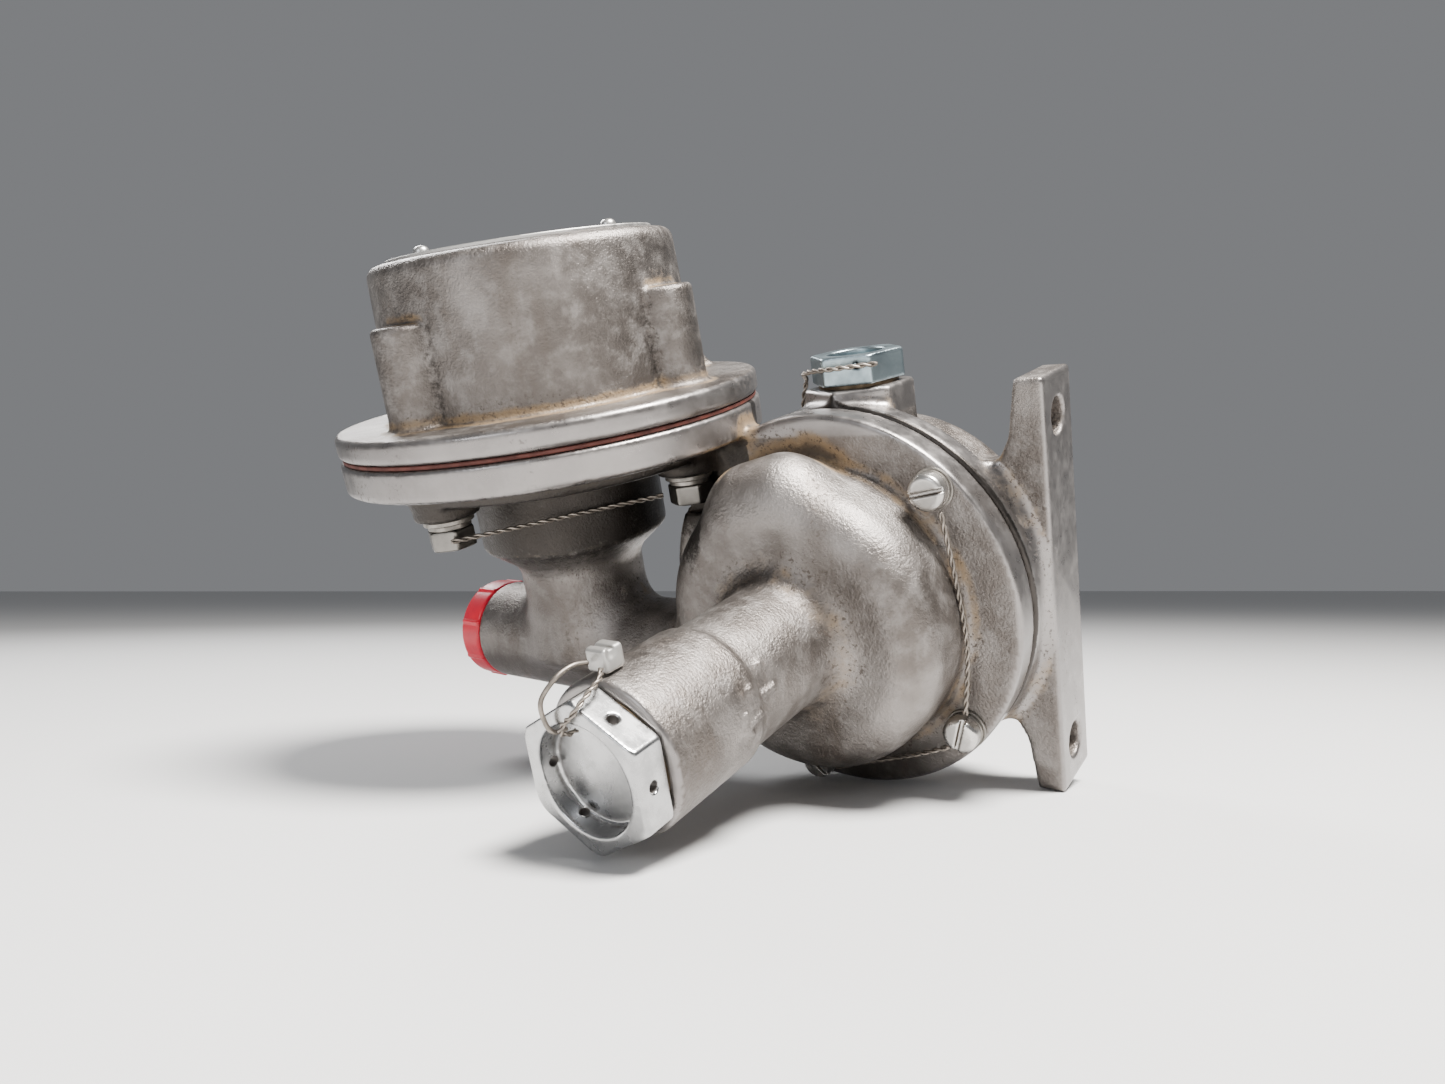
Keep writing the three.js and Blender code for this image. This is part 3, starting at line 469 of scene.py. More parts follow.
def pilot_cover(p):
    x, y, z = p
    pilot, floor = (PX, PY), SPLIT + JOINT
    rim = disc(p, 2, pilot, CHAMBER, floor, UPPER, 1.6)
    bowl = cone(p, 2, pilot, BOWL, BOWL_TOP_R, UPPER - 1, BOWL_TOP, 3.2)
    for bx, by in PILLAR_AT:
        bowl = smin(bowl, cone(p, 2, (bx, by), PILLAR + 0.5, PILLAR - 0.2, floor, PILLAR_TOP, 1.4), 1.4)
    c, s = on_circle(1, 65)
    u, v = (x - PX) * c + (y - PY) * s, -(x - PX) * s + (y - PY) * c
    slope = (u - BOWL - 9.5) * 0.81 + (z - UPPER) * 0.58
    rib = rounded(np.maximum(np.maximum(slope, z - UPPER - 15), UPPER - 3 - z), slab(v, -2, 2), 0.7)
    rib = np.maximum(rib, 30 - u)
    body = smin(smin(bowl, rib, 2), rim, 2.4)
    body = smax(body, floor - z, 0.3)
    hollow = cone(p, 2, pilot, BOWL - WALL, BOWL_TOP_R - WALL, floor + 5, BOWL_TOP - WALL, 3)
    for bx, by in PILLAR_AT:
        hollow = cut(hollow, disc(p, 2, (bx, by), 7, floor - 2, PILLAR_TOP - 2, 1), 1)
    hollow = np.minimum(hollow, disc(p, 2, pilot, CLAMP, floor - 2, floor + 8, 0.5))
    body = cut(body, hollow, 0.5)
    for dx, dy in DRIVE_AT:
        body = cut(body, disc(p, 2, (dx, dy), 1.3, BOWL_TOP - 3, BOWL_TOP + 1, 0), 0.1)
    return body


def cover_machined(pts, n):
    return ((from_pilot(pts) > CHAMBER - 0.9) & (pts[:, 2] < UPPER)).astype(float)


# mesh steps, mm
COARSE, MEDIUM, FINE = 0.75, 0.38, 0.27
castings = [
    carve("valve_body_cast", valve_body, (PX - CHAMBER, -TUBE_END, -DRUM), (DRUM, PY + CHAMBER, SPLIT),
          COARSE, valve_body_machined, "valve_body", body_oil_and_shade),
    carve("rear_housing_cast", rear_housing, (-DRUM, JOINT, -PAD_HALF),
          (PAD_X, BACK_DEPTH, PLUG_BOSS_TOP + 1), COARSE, rear_machined, "rear_housing", joint_oil),
    carve("pilot_cover_cast", pilot_cover, (PX - CHAMBER, PY - CHAMBER, SPLIT),
          (PX + CHAMBER, PY + CHAMBER, BOWL_TOP), COARSE, cover_machined, "pilot_cover", cover_oil),
]


# ---- plugs, bolts and screws --------------------------------------------------------------------
def outlet_plug(p):
    x, y, z = p
    body = hexagon(p, 1, (0, 0), HEX_FLATS, -HEX_FACE, -HEX_BACK, 0, 0.25)
    corner = HEX_FLATS / math.sqrt(3)
    radial = np.hypot(x, z)
    body = smax(body, chamfer(radial - corner + 1.1, -HEX_FACE - y, 0.6, 0.8), 0.3)
    body = smax(body, chamfer(radial - corner + 0.5, y + HEX_BACK, 0.5, 0.87), 0.3)
    body = np.minimum(body, disc(p, 1, (0, 0), THREAD, -HEX_BACK - 1, -TUBE_END + 11, 0.5))
    body = cut(body, disc(p, 1, (0, 0), RECESS, -HEX_FACE - 2, -HEX_FACE + RECESS_DEPTH, 0.8), 0.9)
    for a in (60, 0, 120, 180, 240, 300):
        cx, cz = on_circle(HEX_FLATS / 2, a)
        mid = (-HEX_FACE - HEX_BACK) / 2
        body = cut(body, capsule(p, (cx * 1.3, mid, cz * 1.3), (cx * 0.86, mid, cz * 0.86), 1.15), 0.3)
    return body


def top_plug(p):
    x, y, z = p
    at = (PLUG_X, PLUG_Y)
    body = hexagon(p, 2, at, PLUG_FLATS, PLUG_BOSS_TOP + 1, PLUG_TOP, PLUG_TURN, 0.3)
    radial = np.hypot(x - PLUG_X, y - PLUG_Y)
    body = smax(body, chamfer(radial - PLUG_FLATS / math.sqrt(3) + 0.9, z - PLUG_TOP, 0.5, 0.87), 0.3)
    body = np.minimum(body, disc(p, 2, at, 8, 41, PLUG_BOSS_TOP + 2, 0.4))
    body = cut(body, disc(p, 2, at, 7.5, PLUG_TOP - 4, PLUG_TOP + 2, 0.6), 0.6)
    cx, cy = on_circle(1, PLUG_TURN - 60 + 14)
    a = (PLUG_X + cx * 13.5, PLUG_Y + cy * 13.5, PLUG_TOP - 2.6)
    b = (PLUG_X + cx * 8.5, PLUG_Y + cy * 8.5, PLUG_TOP - 2.6)
    return cut(body, capsule(p, a, b, 0.9), 0.2)


def bolt(bx, by):
    """A chamber bolt's field and the box that holds it."""
    head_top = BOLT_SEAT - GAP - 2 * (BOLT_WASHER + GAP)
    head_low = head_top - BOLT_HEAD

    def shape(p):
        x, y, z = p
        body = hexagon(p, 2, (bx, by), BOLT_FLATS, head_low, head_top, 0, 0.25)
        radial = np.hypot(x - bx, y - by)
        body = smax(body, chamfer(radial - BOLT_FLATS / math.sqrt(3) + 0.7, head_low - z, 0.5, 0.87), 0.3)
        body = cut(body, disc(p, 2, (bx, by), 3.2, head_low - 1, head_low + 0.7, 0.2), 0.4)
        return np.minimum(body, disc(p, 2, (bx, by), BOLT_SHANK, head_top - 1, BOLT_TIP, 0.3))

    return shape, (bx - 6.6, by - 6.6, head_low), (bx + 6.6, by + 6.6, BOLT_TIP)


def cover_screw(sx, sz, turn):
    """A slotted cover screw's field and the box that holds it; turn is the slot's, in radians."""
    face = -FRONT_FLANGE - GAP
    under = face - 2 * (WASHER + GAP)

    def shape(p):
        x, y, z = p
        body = disc(p, 1, (sx, sz), SCREW_HEAD, under - SCREW_TALL, under, 1.3)
        body = np.minimum(body, disc(p, 1, (sx, sz), SCREW_HEAD, under - SCREW_TALL * 0.6, under, 0.3))
        body = np.minimum(body, disc(p, 1, (sx, sz), SCREW_SHANK, under - 1, REAR_FLANGE - 0.5, 0.3))
        c, s = math.cos(turn), math.sin(turn)
        slot = np.abs((x - sx) * -s + (z - sz) * c) - 0.55
        return cut(body, np.maximum(slot, y - (under - SCREW_TALL + 1.3)), 0.15)

    return shape, (sx - 5, under - SCREW_TALL, sz - 5), (sx + 5, REAR_FLANGE, sz + 5)


def all_metal(pts, n):
    return np.ones(len(pts))


plug_end = carve("outlet_plug_hex", outlet_plug, (-17, -HEX_FACE, -17), (17, -TUBE_END + 11, 17), MEDIUM,
                 all_metal, "outlet_plug")
plug_top = carve("top_plug_hex", top_plug, (PLUG_X - 13, PLUG_Y - 13, 41),
                 (PLUG_X + 13, PLUG_Y + 13, PLUG_TOP), MEDIUM, all_metal, "top_plug")
bolts = []
for i, (bx, by) in enumerate(PILLAR_AT):
    shape, lo, hi = bolt(bx, by)
    bolts.append(carve(f"pilot_bolt_{i + 1}_hex", shape, lo, hi, MEDIUM, all_metal, f"pilot_bolt_{i + 1}"))
screws = []
for i, (sx, sz) in enumerate(SCREW_AT):
    shape, lo, hi = cover_screw(sx, sz, i * 1.1 + 0.2)
    screws.append(carve(f"cover_screw_{i + 1}_head", shape, lo, hi, FINE, all_metal, f"cover_screw_{i + 1}"))

washers = []
face = -FRONT_FLANGE - GAP
for i, (sx, sz) in enumerate(SCREW_AT):
    for kind, a, out in (("washer", face - WASHER, 5.1), ("spring_washer", face - 2 * WASHER - GAP, 4.6)):
        washers.append(turned(f"cover_{kind}_{i + 1}_ring", ring_profile(2.6, out, a, a + WASHER, 0.15),
                              1, (sz, sx), 48, f"cover_{kind}_{i + 1}"))
top = BOLT_SEAT - GAP
for i, (bx, by) in enumerate(PILLAR_AT):
    for kind, b, out in (("washer", top, 6.6), ("spring_washer", top - BOLT_WASHER - GAP, 5.6)):
        washers.append(turned(f"pilot_{kind}_{i + 1}_ring", ring_profile(3.3, out, b - BOLT_WASHER, b, 0.2),
                              2, (bx, by), 64, f"pilot_{kind}_{i + 1}"))

seal_ring = turned("outlet_seal_ring", [(12.5, -95.75), (14.4, -95.75), (14.4, -94.85), (12.5, -94.85)],
                   1, (0, 0), 96, "outlet_seal_washer")
plug_ring = turned("top_plug_ring", [(8.3, 54.05), (10.6, 54.05), (10.6, 54.95), (8.3, 54.95)],
                   2, (PLUG_X, PLUG_Y), 96, "top_plug_washer")
rubber_main = turned("main_diaphragm_edge", ring_profile(3.8, DRUM - 1.8, -SHEET, SHEET, 0.2),
                     1, (0, 0), 180, "main_diaphragm")
rubber_pilot = turned("pilot_diaphragm_edge",
                      ring_profile(3.3, CHAMBER - 0.8, SPLIT - SHEET, SPLIT + SHEET, 0.2),
                      2, (PX, PY), 200, "pilot_diaphragm")


# ---- cap and nameplate --------------------------------------------------------------------------
def dust_cap(p):
    x, y, z = p
    tee = (PY, TEE_Z)
    body = disc(p, 0, tee, TEE, PORT_X, PORT_X + CAP_WIDTH, 0.8)
    angle = np.arctan2(z - TEE_Z, y - PY)
    radial = np.hypot(y - PY, z - TEE_Z)
    length = slab(x, PORT_X + 0.6, PORT_X + CAP_WIDTH - 0.2)
    ribs = 8
    for k in range(ribs):
        a = 2 * np.pi * k / ribs + 0.3
        away = np.abs((angle - a + np.pi) % (2 * np.pi) - np.pi) * TEE
        rib = np.maximum(np.maximum(away - 0.5, radial - TEE - 0.45), length)
        body = smin(body, np.maximum(rib, TEE - 2 - radial), 0.5)
    body = cut(body, disc(p, 0, tee, TEE - CAP_SKIN, PORT_X + CAP_SKIN, PORT_X + CAP_WIDTH + 2, 0.2), 0.3)
    return cut(body, disc(p, 0, tee, TEE - 4, PORT_X - 2, PORT_X + 0.5, 0.2), 0.4)


cap = carve("dust_cap_moulding", dust_cap, (PORT_X, PY - 17, TEE_Z - 17),
            (PORT_X + CAP_WIDTH, PY + 17, TEE_Z + 17), 0.4, all_metal, "dust_cap")
plate = turned("nameplate_disc", ring_profile(0.01, PLATE_R, PLATE_Z, PLATE_Z + PLATE_THICK, 0.2),
               2, (PX, PY), 160, "nameplate")
drives = []
for i, (dx, dy) in enumerate(DRIVE_AT):
    z = PLATE_Z + PLATE_THICK + GAP
    prof = [(0.01, z), (2.0, z), (1.95, z + 0.5), (1.6, z + 1.1), (1.0, z + 1.5), (0.01, z + 1.65)]
    drives.append(turned(f"drive_screw_{i + 1}_head", prof, 2, (dx, dy), 40, f"drive_screw_{i + 1}"))


# ---- locking wires and the seal -----------------------------------------------------------------
HEAD_Y = -(FRONT_FLANGE + 2 * WASHER + SCREW_TALL / 2)


def beside_screw(i, degrees, out=WIRE + 0.5):
    dx, dz = on_circle(SCREW_HEAD + out, degrees)
    return (SCREW_AT[i][0] + dx, HEAD_Y, SCREW_AT[i][1] + dz)


def round_dome(degrees, out=1.8):
    dx, dz = on_circle(DOME + out, degrees)
    return (dx, HEAD_Y, dz)


def beside_bolt(i, degrees):
    dx, dy = on_circle(BOLT_FLATS / math.sqrt(3) + WIRE + 0.9, degrees)
    return (PILLAR_AT[i][0] + dx, PILLAR_AT[i][1] + dy, BOLT_SEAT - 5)


def beside_plug(flats, degrees, z):
    dx, dy = on_circle(flats / math.sqrt(3) + WIRE + 1, degrees)
    return (PLUG_X + dx, PLUG_Y + dy, z)


cup_x, cup_y = on_circle(CUP + WIRE + 1, -38)
SEAL = (-1.6, -(TUBE_END - 4.4), BOSS + 3.1)
SEAL_Y, SEAL_Z = SEAL[1:]
F = -HEX_FACE
wires = [
    twisted("cover_lockwire_1_pair", [
        beside_screw(0, -60), round_dome(18), round_dome(-8), beside_screw(1, 75)], "cover_lockwire_1"),
    twisted("cover_lockwire_2_pair", [
        beside_screw(1, -130), round_dome(-60, 6), round_dome(-82, 6), beside_screw(2, -10)],
        "cover_lockwire_2"),
    twisted("pilot_lockwire_pair", [
        beside_bolt(0, -40), (PX + cup_x, PY + cup_y, BOLT_SEAT - 5), beside_bolt(1, -130)],
        "pilot_lockwire"),
    twisted("top_plug_lockwire_pair", [
        beside_plug(PLUG_FLATS, -40, PLUG_TOP - 2.5), beside_plug(PLUG_FLATS, -85, PLUG_TOP - 2.5),
        beside_plug(PLUG_FLATS, -130, PLUG_TOP - 3.5), beside_plug(PLUG_FLATS, -165, PLUG_TOP - 6.5),
        beside_plug(PLUG_BOSS_FLATS, -170, PLUG_BOSS_TOP - 4),
        beside_plug(PLUG_BOSS_FLATS, -170, PLUG_BOSS_TOP - 8)], "top_plug_lockwire"),
    single("seal_wire_loop_bar", [
        (-3, SEAL_Y - 3.5, SEAL_Z), (-3.5, SEAL_Y - 7, SEAL_Z + 0.8), (-4, F + 2, SEAL_Z),
        (-5.5, F - 1.3, SEAL_Z - 3.5), (-5.2, F - 1.5, 12), (-4.6, F - 0.4, 9.8), (-4.6, F + 2.6, 9)],
        "seal_wire_loop"),
    twisted("seal_wire_strand_pair", [
        (0.4, SEAL_Y - 3.5, SEAL_Z - 0.8), (3.2, SEAL_Y - 7, SEAL_Z - 1), (3.6, F + 2, SEAL_Z - 2.2),
        (2.8, F - 1.4, SEAL_Z - 4.6), (-0.2, F - 1.5, 12.8), (-2, F - 1.1, 10.4), (-2.2, F + 0.8, 9.2),
        (-2.2, F + 3, 9)], "seal_wire_strand", 4.5, 0.3),
]


def lead_seal(p):
    x, y, z = (p[i] - SEAL[i] for i in range(3))
    body = rounded(rounded(np.abs(x) - 2.8, np.abs(y) - 2.7, 0.9), np.abs(z) - 2.5, 0.8)
    body = cut(body, rounded(np.abs(y + 0.3) - 0.5, 1.9 - z, 0.2), 0.5)
    return cut(body, np.sqrt((x - 3.4) ** 2 + (y + 1) ** 2 + (z - 1.5) ** 2) - 1.3, 0.8)


seal = carve("lead_seal_block", lead_seal, [c - 3 for c in SEAL], [c + 3 for c in SEAL], 0.2,
             all_metal, "lead_seal")


# ---- materials ----------------------------------------------------------------------------------
class Look:
    """A small helper for building a node material round one Principled shader."""

    def __init__(self, name):
        self.material = bpy.data.materials.new(name)
        self.material.use_nodes = True
        self.tree = self.material.node_tree
        self.shader = self.tree.nodes["Principled BSDF"]
        self.place = self.tree.nodes.new("ShaderNodeTexCoord").outputs["Object"]

    def feed(self, socket, value):
        """Links another node's output to a socket, or sets a plain number or colour on it."""
        if isinstance(value, bpy.types.NodeSocket):
            self.tree.links.new(value, socket)
        else:
            socket.default_value = (*value, 1.0) if socket.type == "RGBA" else value

    def node(self, kind, **inputs):
        made = self.tree.nodes.new("ShaderNode" + kind)
        for key, value in inputs.items():
            self.feed(made.inputs[key], value)
        return made

    def noise(self, scale, detail=4.0, rough=0.55, stretch=None):
        where = self.place
        if stretch:
            where = self.node("Mapping", Vector=where, Scale=stretch).outputs[0]
        made = self.node("TexNoise", Vector=where, Scale=scale, Detail=detail, Roughness=rough)
        return made.outputs["Fac"]

    def ramp(self, value, lo, hi, to_lo=0.0, to_hi=1.0):
        made = self.node("MapRange", Value=value)
        made.interpolation_type = "SMOOTHSTEP"
        for key, v in (("From Min", lo), ("From Max", hi), ("To Min", to_lo), ("To Max", to_hi)):
            made.inputs[key].default_value = v
        return made.outputs[0]

    def math(self, op, a, b=0.0):
        made = self.tree.nodes.new("ShaderNodeMath")
        made.operation = op
        for socket, value in zip(made.inputs, (a, b)):
            self.feed(socket, value)
        return made.outputs[0]

    def mix(self, fac, a, b):
        made = self.tree.nodes.new("ShaderNodeMix")
        made.data_type = "RGBA"
        for socket, value in ((made.inputs[0], fac), (made.inputs[6], a), (made.inputs[7], b)):
            self.feed(socket, value)
        return made.outputs[2]

    def attribute(self, name):
        made = self.tree.nodes.new("ShaderNodeAttribute")
        made.attribute_name = name
        return made.outputs["Fac"]

    def set(self, **sockets):
        names = {"color": "Base Color", "rough": "Roughness", "metal": "Metallic", "normal": "Normal"}
        for key, value in sockets.items():
            self.feed(self.shader.inputs[names[key]], value)

    def bump(self, height, distance, strength=1.0, after=None):
        extra = {"Normal": after} if after else {}
        return self.node("Bump", Height=height, Distance=distance, Strength=strength, **extra).outputs[0]


def cast_aluminium():
    look = Look("cast_aluminium")
    cavity, machined = look.attribute("cavity"), look.attribute("machined")
    rough_part = look.math("SUBTRACT", 1.0, machined)
    broad, medium, fine = look.noise(38), look.noise(190, 6, 0.65), look.noise(1400, 4, 0.6)
    base = look.mix(look.ramp(broad, 0.35, 0.65), (0.125, 0.110, 0.100), (0.25, 0.23, 0.215))
    base = look.mix(look.ramp(medium, 0.42, 0.72, 0, 0.55), base, (0.33, 0.31, 0.295))
    base = look.mix(look.math("MULTIPLY", machined, 0.55), base, (0.31, 0.295, 0.29))
    streak = look.noise(60, 5, 0.6, (1.0, 1.0, 0.16))
    # dirt and painted shade in hollows: the cavity value with some noise tints them ochre and darkens them
    dirt_and_shade = look.math("ADD", cavity, look.math("MULTIPLY", look.math("SUBTRACT", medium, 0.5), 0.55))
    grime_and_shade = look.math("MULTIPLY", look.ramp(dirt_and_shade, 0.24, 0.46), 0.8)
    base = look.mix(grime_and_shade, base, (0.235, 0.155, 0.075))
    # painted shade: the deepest hollows go near-black
    deep_hollow_shade = look.ramp(dirt_and_shade, 0.42, 0.70)
    base = look.mix(look.math("MULTIPLY", deep_hollow_shade, 0.85), base, (0.045, 0.036, 0.028))
    speck = look.math("MULTIPLY", look.ramp(look.noise(900, 3, 0.7), 0.56, 0.64),
                      look.ramp(look.math("ADD", streak, look.math("MULTIPLY", cavity, 0.9)), 0.53, 0.70))
    base = look.mix(look.math("MULTIPLY", speck, 0.85), base, (0.05, 0.035, 0.025))
    film = look.ramp(streak, 0.48, 0.70, 0, 0.5)
    base = look.mix(look.math("MULTIPLY", film, rough_part), base, (0.105, 0.085, 0.07))
    # the points' darkening value, broken up by noise: dark oil at the drum's joint, dirt by the pillars and
    # painted shade under the pilot chamber
    blotch = look.math("MULTIPLY", look.math("SUBTRACT", look.noise(520, 8, 0.85), 0.5), 1.7)
    darkening = look.math("MULTIPLY", look.ramp(look.math("ADD", look.attribute("darkening"), blotch), 0.30, 0.72), 0.92)
    base = look.mix(darkening, base, (0.030, 0.026, 0.023))
    covered = look.math("MAXIMUM", grime_and_shade, speck)
    rough = look.math("ADD", look.ramp(medium, 0.3, 0.7, 0.36, 0.52), look.math("MULTIPLY", covered, 0.2))
    rough = look.math("SUBTRACT", rough, look.math("MULTIPLY", machined, 0.10))
    grain = look.bump(fine, 0.00026, look.math("ADD", look.math("MULTIPLY", rough_part, 0.85), 0.08))
    lumps = look.bump(look.noise(260, 3, 0.5), 0.0003, look.math("MULTIPLY", rough_part, 0.4), grain)
    look.set(color=base, rough=rough, normal=lumps,
             metal=look.math("SUBTRACT", 0.92, look.math("MULTIPLY", covered, 0.75)))
    return look.material


def plated(name, tint, dark, rough=0.26, dirt_and_shade_level=0.5, metal=1.0):
    """Worn plating: faint scratches, a duller film, and dirt with painted shade in its hollows."""
    look = Look(name)
    cavity = look.attribute("cavity")
    film, scratch = look.noise(160, 5, 0.6), look.noise(700, 3, 0.6, (1.0, 6.0, 1.0))
    base = look.mix(look.ramp(film, 0.35, 0.7), tint, tuple(0.72 * c for c in tint))
    # dirt and painted shade: hollows go towards the dark colour
    dirt_and_shade = look.math("ADD", cavity, look.math("MULTIPLY", look.math("SUBTRACT", film, 0.5), 0.7))
    grime_and_shade = look.ramp(dirt_and_shade, dirt_and_shade_level, dirt_and_shade_level + 0.35)
    base = look.mix(look.math("MULTIPLY", grime_and_shade, 0.9), base, dark)
    look.set(color=base, metal=look.math("SUBTRACT", metal, look.math("MULTIPLY", grime_and_shade, 0.6)),
             rough=look.math("ADD", look.ramp(film, 0.3, 0.7, rough, rough + 0.16),
                             look.math("MULTIPLY", grime_and_shade, 0.25)),
             normal=look.bump(scratch, 0.00003, 0.5, look.bump(look.noise(260, 3), 0.00012, 0.25)))
    return look.material


def plain_metal(name, tint, rough=0.35):
    look = Look(name)
    film = look.noise(300, 5, 0.6)
    look.set(color=look.mix(look.ramp(film, 0.35, 0.7), tint, tuple(0.6 * c for c in tint)), metal=0.95,
             rough=look.ramp(film, 0.3, 0.7, rough, rough + 0.2),
             normal=look.bump(look.noise(1200, 3), 0.00005, 0.4))
    return look.material


def rubber(name, tint):
    look = Look(name)
    film = look.noise(220, 5, 0.65)
    look.set(color=look.mix(look.ramp(film, 0.3, 0.7), tint, tuple(0.45 * c for c in tint)), metal=0.0,
             rough=look.ramp(film, 0.3, 0.7, 0.62, 0.85),
             normal=look.bump(look.noise(1500, 3), 0.00008, 0.5))
    return look.material


def red_plastic():
    look = Look("red_plastic")
    film = look.noise(120, 5, 0.6)
    dust = look.math("MULTIPLY", look.ramp(look.noise(800, 3, 0.7), 0.58, 0.70), 0.35)
    base = look.mix(look.ramp(film, 0.3, 0.7), (0.72, 0.012, 0.035), (0.56, 0.010, 0.040))
    base = look.mix(dust, base, (0.30, 0.09, 0.07))
    look.set(color=base, rough=look.ramp(film, 0.3, 0.7, 0.30, 0.46), metal=0.0,
             normal=look.bump(look.noise(500, 3), 0.00008, 0.35))
    return look.material


def nameplate():
    """A dark etched disc with a bare metal border and blank bare fields."""
    look = Look("nameplate_etched")
    xyz = look.node("SeparateXYZ", Vector=look.place).outputs
    cx, cy = (PX + SHIFT[0]) * MM, (PY + SHIFT[1]) * MM
    dx, dy = look.math("SUBTRACT", xyz[0], cx), look.math("SUBTRACT", xyz[1], cy)
    squares = look.math("ADD", look.math("MULTIPLY", dx, dx), look.math("MULTIPLY", dy, dy))
    radius = look.math("SQRT", squares)

    def within(value, middle, reach):
        away = look.math("ABSOLUTE", look.math("SUBTRACT", value, middle))
        return look.math("LESS_THAN", away, reach)

    bare = look.ramp(radius, 0.0338, 0.0340)
    fields = within(radius, 0.0285, 0.0003)
    for row in (-0.012, -0.004, 0.004, 0.012):
        field = look.math("MULTIPLY", within(dy, row, 0.0024), within(dx, 0.004, 0.0155))
        fields = look.math("MAXIMUM", fields, field)
    worn = look.ramp(look.noise(260, 5, 0.7), 0.62, 0.72, 0, 0.6)
    bare = look.math("MAXIMUM", look.math("MAXIMUM", bare, fields), worn)
    base = look.mix(bare, (0.035, 0.042, 0.055), (0.58, 0.57, 0.55))
    look.set(color=base, metal=look.math("MULTIPLY", bare, 0.9),
             rough=look.ramp(look.noise(300, 4), 0.3, 0.7, 0.32, 0.5),
             normal=look.bump(look.noise(900, 3), 0.00004, 0.3))
    return look.material


def dress(material, slot_name, *objs):
    for o in objs:
        o.data.materials.clear()
        o.data.materials.append(material)


dress(cast_aluminium(), "casting", *castings)
dress(plated("bright_plating", (0.50, 0.50, 0.50), (0.05, 0.038, 0.03), 0.20, 0.40), "plated", plug_end)
dress(plated("blue_plating", (0.30, 0.37, 0.40), (0.03, 0.04, 0.04), 0.28, 0.42), "plated", plug_top)
dress(plated("oiled_steel", (0.20, 0.19, 0.175), (0.02, 0.017, 0.015), 0.30, 0.24), "steel", *bolts)
dress(plated("screw_steel", (0.62, 0.60, 0.57), (0.07, 0.045, 0.025), 0.22, 0.55), "steel", *screws)
dress(plain_metal("washer_steel", (0.30, 0.28, 0.255), 0.35), "steel", *washers)
dress(plain_metal("drive_screw_steel", (0.66, 0.65, 0.63), 0.25), "plated", *drives)
dress(plain_metal("lock_wire", (0.30, 0.265, 0.23), 0.36), "wire", *wires)
dress(plated("seal_lead", (0.50, 0.49, 0.47), (0.10, 0.08, 0.06), 0.42, 0.45, 0.9), "lead", seal)
dress(plain_metal("seal_brass", (0.10, 0.075, 0.05), 0.5), "brass", seal_ring, plug_ring)
dress(rubber("black_rubber", (0.028, 0.027, 0.026)), "black_rubber", rubber_main)
dress(rubber("red_rubber", (0.10, 0.020, 0.012)), "red_rubber", rubber_pilot)
dress(red_plastic(), "red_plastic", cap)
dress(nameplate(), "nameplate", plate)

# the inner pieces keep their CAD meshes
inner = {"brass": plain_metal("machined_brass", (0.60, 0.44, 0.20), 0.28),
         "steel": plain_metal("spring_steel", (0.50, 0.49, 0.47)),
         "plated": plain_metal("zinc_plate", (0.58, 0.60, 0.62), 0.3)}
slot_of = {s["node"]: s["material_slot"] for s in frame["record"]["subparts"]}
for name, obj in frame["nodes"].items():
    if slot_of.get(name) in inner:
        obj.data.materials.clear()
        obj.data.materials.append(inner[slot_of[name]])

# ---- stage, lights and camera -------------------------------------------------------------------
UP = Vector((-0.076, 0.34, 0.939)).normalized()  # straight up from the table the valve lies on
lowest = min(min(UP.dot(v.co) for v in o.data.vertices) for o in castings + [plug_end, cap] + screws)
floor_mesh = bpy.data.meshes.new("floor")
side = UP.orthogonal().normalized()
across = UP.cross(side)
FLOOR_HALF = 40.0
centre = UP * (lowest - 0.0001)
corners = [centre + side * a * FLOOR_HALF + across * b * FLOOR_HALF
           for a, b in ((-1, -1), (1, -1), (1, 1), (-1, 1))]
floor_mesh.from_pydata(corners, [], [(0, 1, 2, 3)])
if floor_mesh.polygons[0].normal.dot(UP) < 0:
    floor_mesh.flip_normals()
floor = bpy.data.objects.new("floor", floor_mesh)
bpy.context.scene.collection.objects.link(floor)
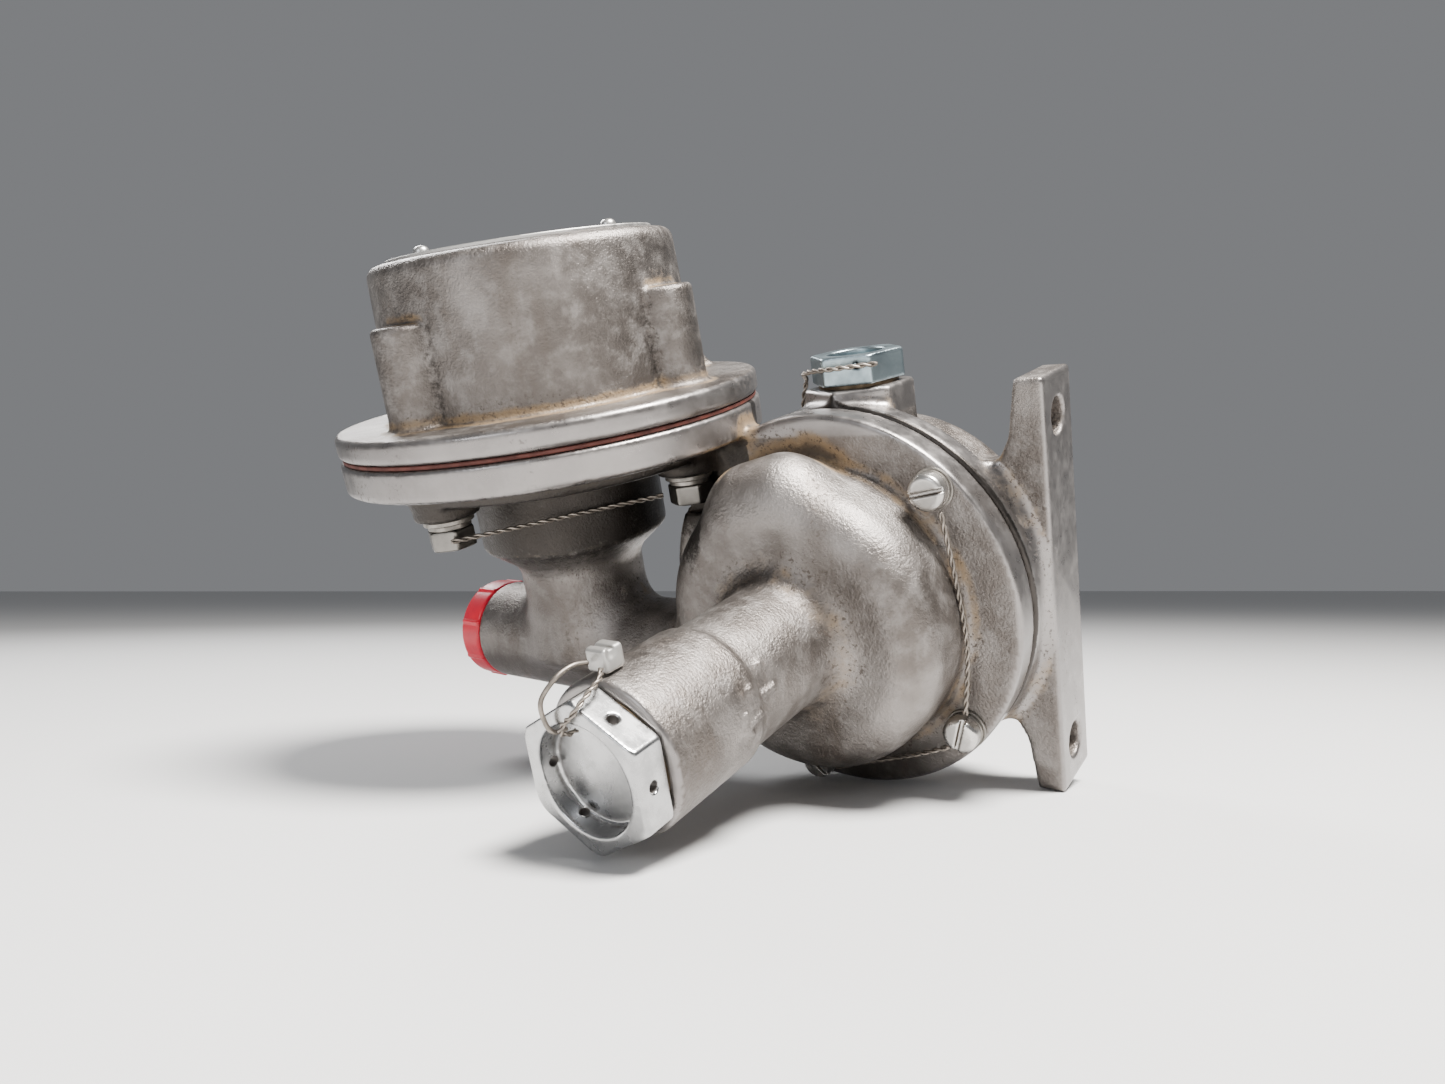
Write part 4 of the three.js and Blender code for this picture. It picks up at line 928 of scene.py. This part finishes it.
# the floor is seen only from above, so that a view from below isn't shut off by it
paper = Look("paper")
paper.set(color=(0.62, 0.62, 0.62), rough=0.9, metal=0.0)
geometry = paper.tree.nodes.new("ShaderNodeNewGeometry")
see_through = paper.tree.nodes.new("ShaderNodeBsdfTransparent")
choose = paper.tree.nodes.new("ShaderNodeMixShader")
paper.tree.links.new(geometry.outputs["Backfacing"], choose.inputs[0])
paper.tree.links.new(paper.shader.outputs[0], choose.inputs[1])
paper.tree.links.new(see_through.outputs[0], choose.inputs[2])
paper.tree.links.new(choose.outputs[0], paper.tree.nodes["Material Output"].inputs["Surface"])
floor.data.materials.append(paper.material)

world = bpy.data.worlds.new("studio")
bpy.context.scene.world = world
world.use_nodes = True
world.node_tree.nodes["Background"].inputs["Color"].default_value = (0.86, 0.88, 0.92, 1)
world.node_tree.nodes["Background"].inputs["Strength"].default_value = 0.24

MIDDLE = Vector((-0.085, -0.035, 0.015))


def area_light(name, direction, distance, size, watts, color=(1, 1, 1)):
    data = bpy.data.lights.new(name, "AREA")
    data.shape, data.size, data.energy, data.color = "DISK", size, watts, color
    obj = bpy.data.objects.new(name, data)
    back = Vector(direction).normalized()
    obj.location = MIDDLE + back * distance
    obj.rotation_mode = "QUATERNION"
    obj.rotation_quaternion = back.to_track_quat("Z", "Y")
    bpy.context.scene.collection.objects.link(obj)


area_light("key", (0.42, 0.30, 1.0), 0.9, 0.35, 44, (1.0, 0.97, 0.93))
area_light("fill", (0.1, -1.0, 0.75), 1.2, 0.5, 3.5, (0.92, 0.95, 1.0))
area_light("rim", (-1.0, 0.5, 0.7), 1.0, 0.4, 8)

back = Vector((0.598, -0.756, 0.269)).normalized()
right = Vector((-0.046, 0.302, 0.952)).cross(back).normalized()
view_up = back.cross(right)
camera_data = bpy.data.cameras.new("camera")
camera_data.lens, camera_data.sensor_width = 23.97, 36.0
camera_data.clip_start, camera_data.clip_end = 0.01, 100.0
camera = bpy.data.objects.new("camera", camera_data)
turn = Matrix((right, view_up, back)).transposed()
camera.matrix_world = Matrix.Translation((0.0746, -0.23015, 0.0879)) @ turn.to_4x4()
bpy.context.scene.collection.objects.link(camera)
bpy.context.scene.camera = camera
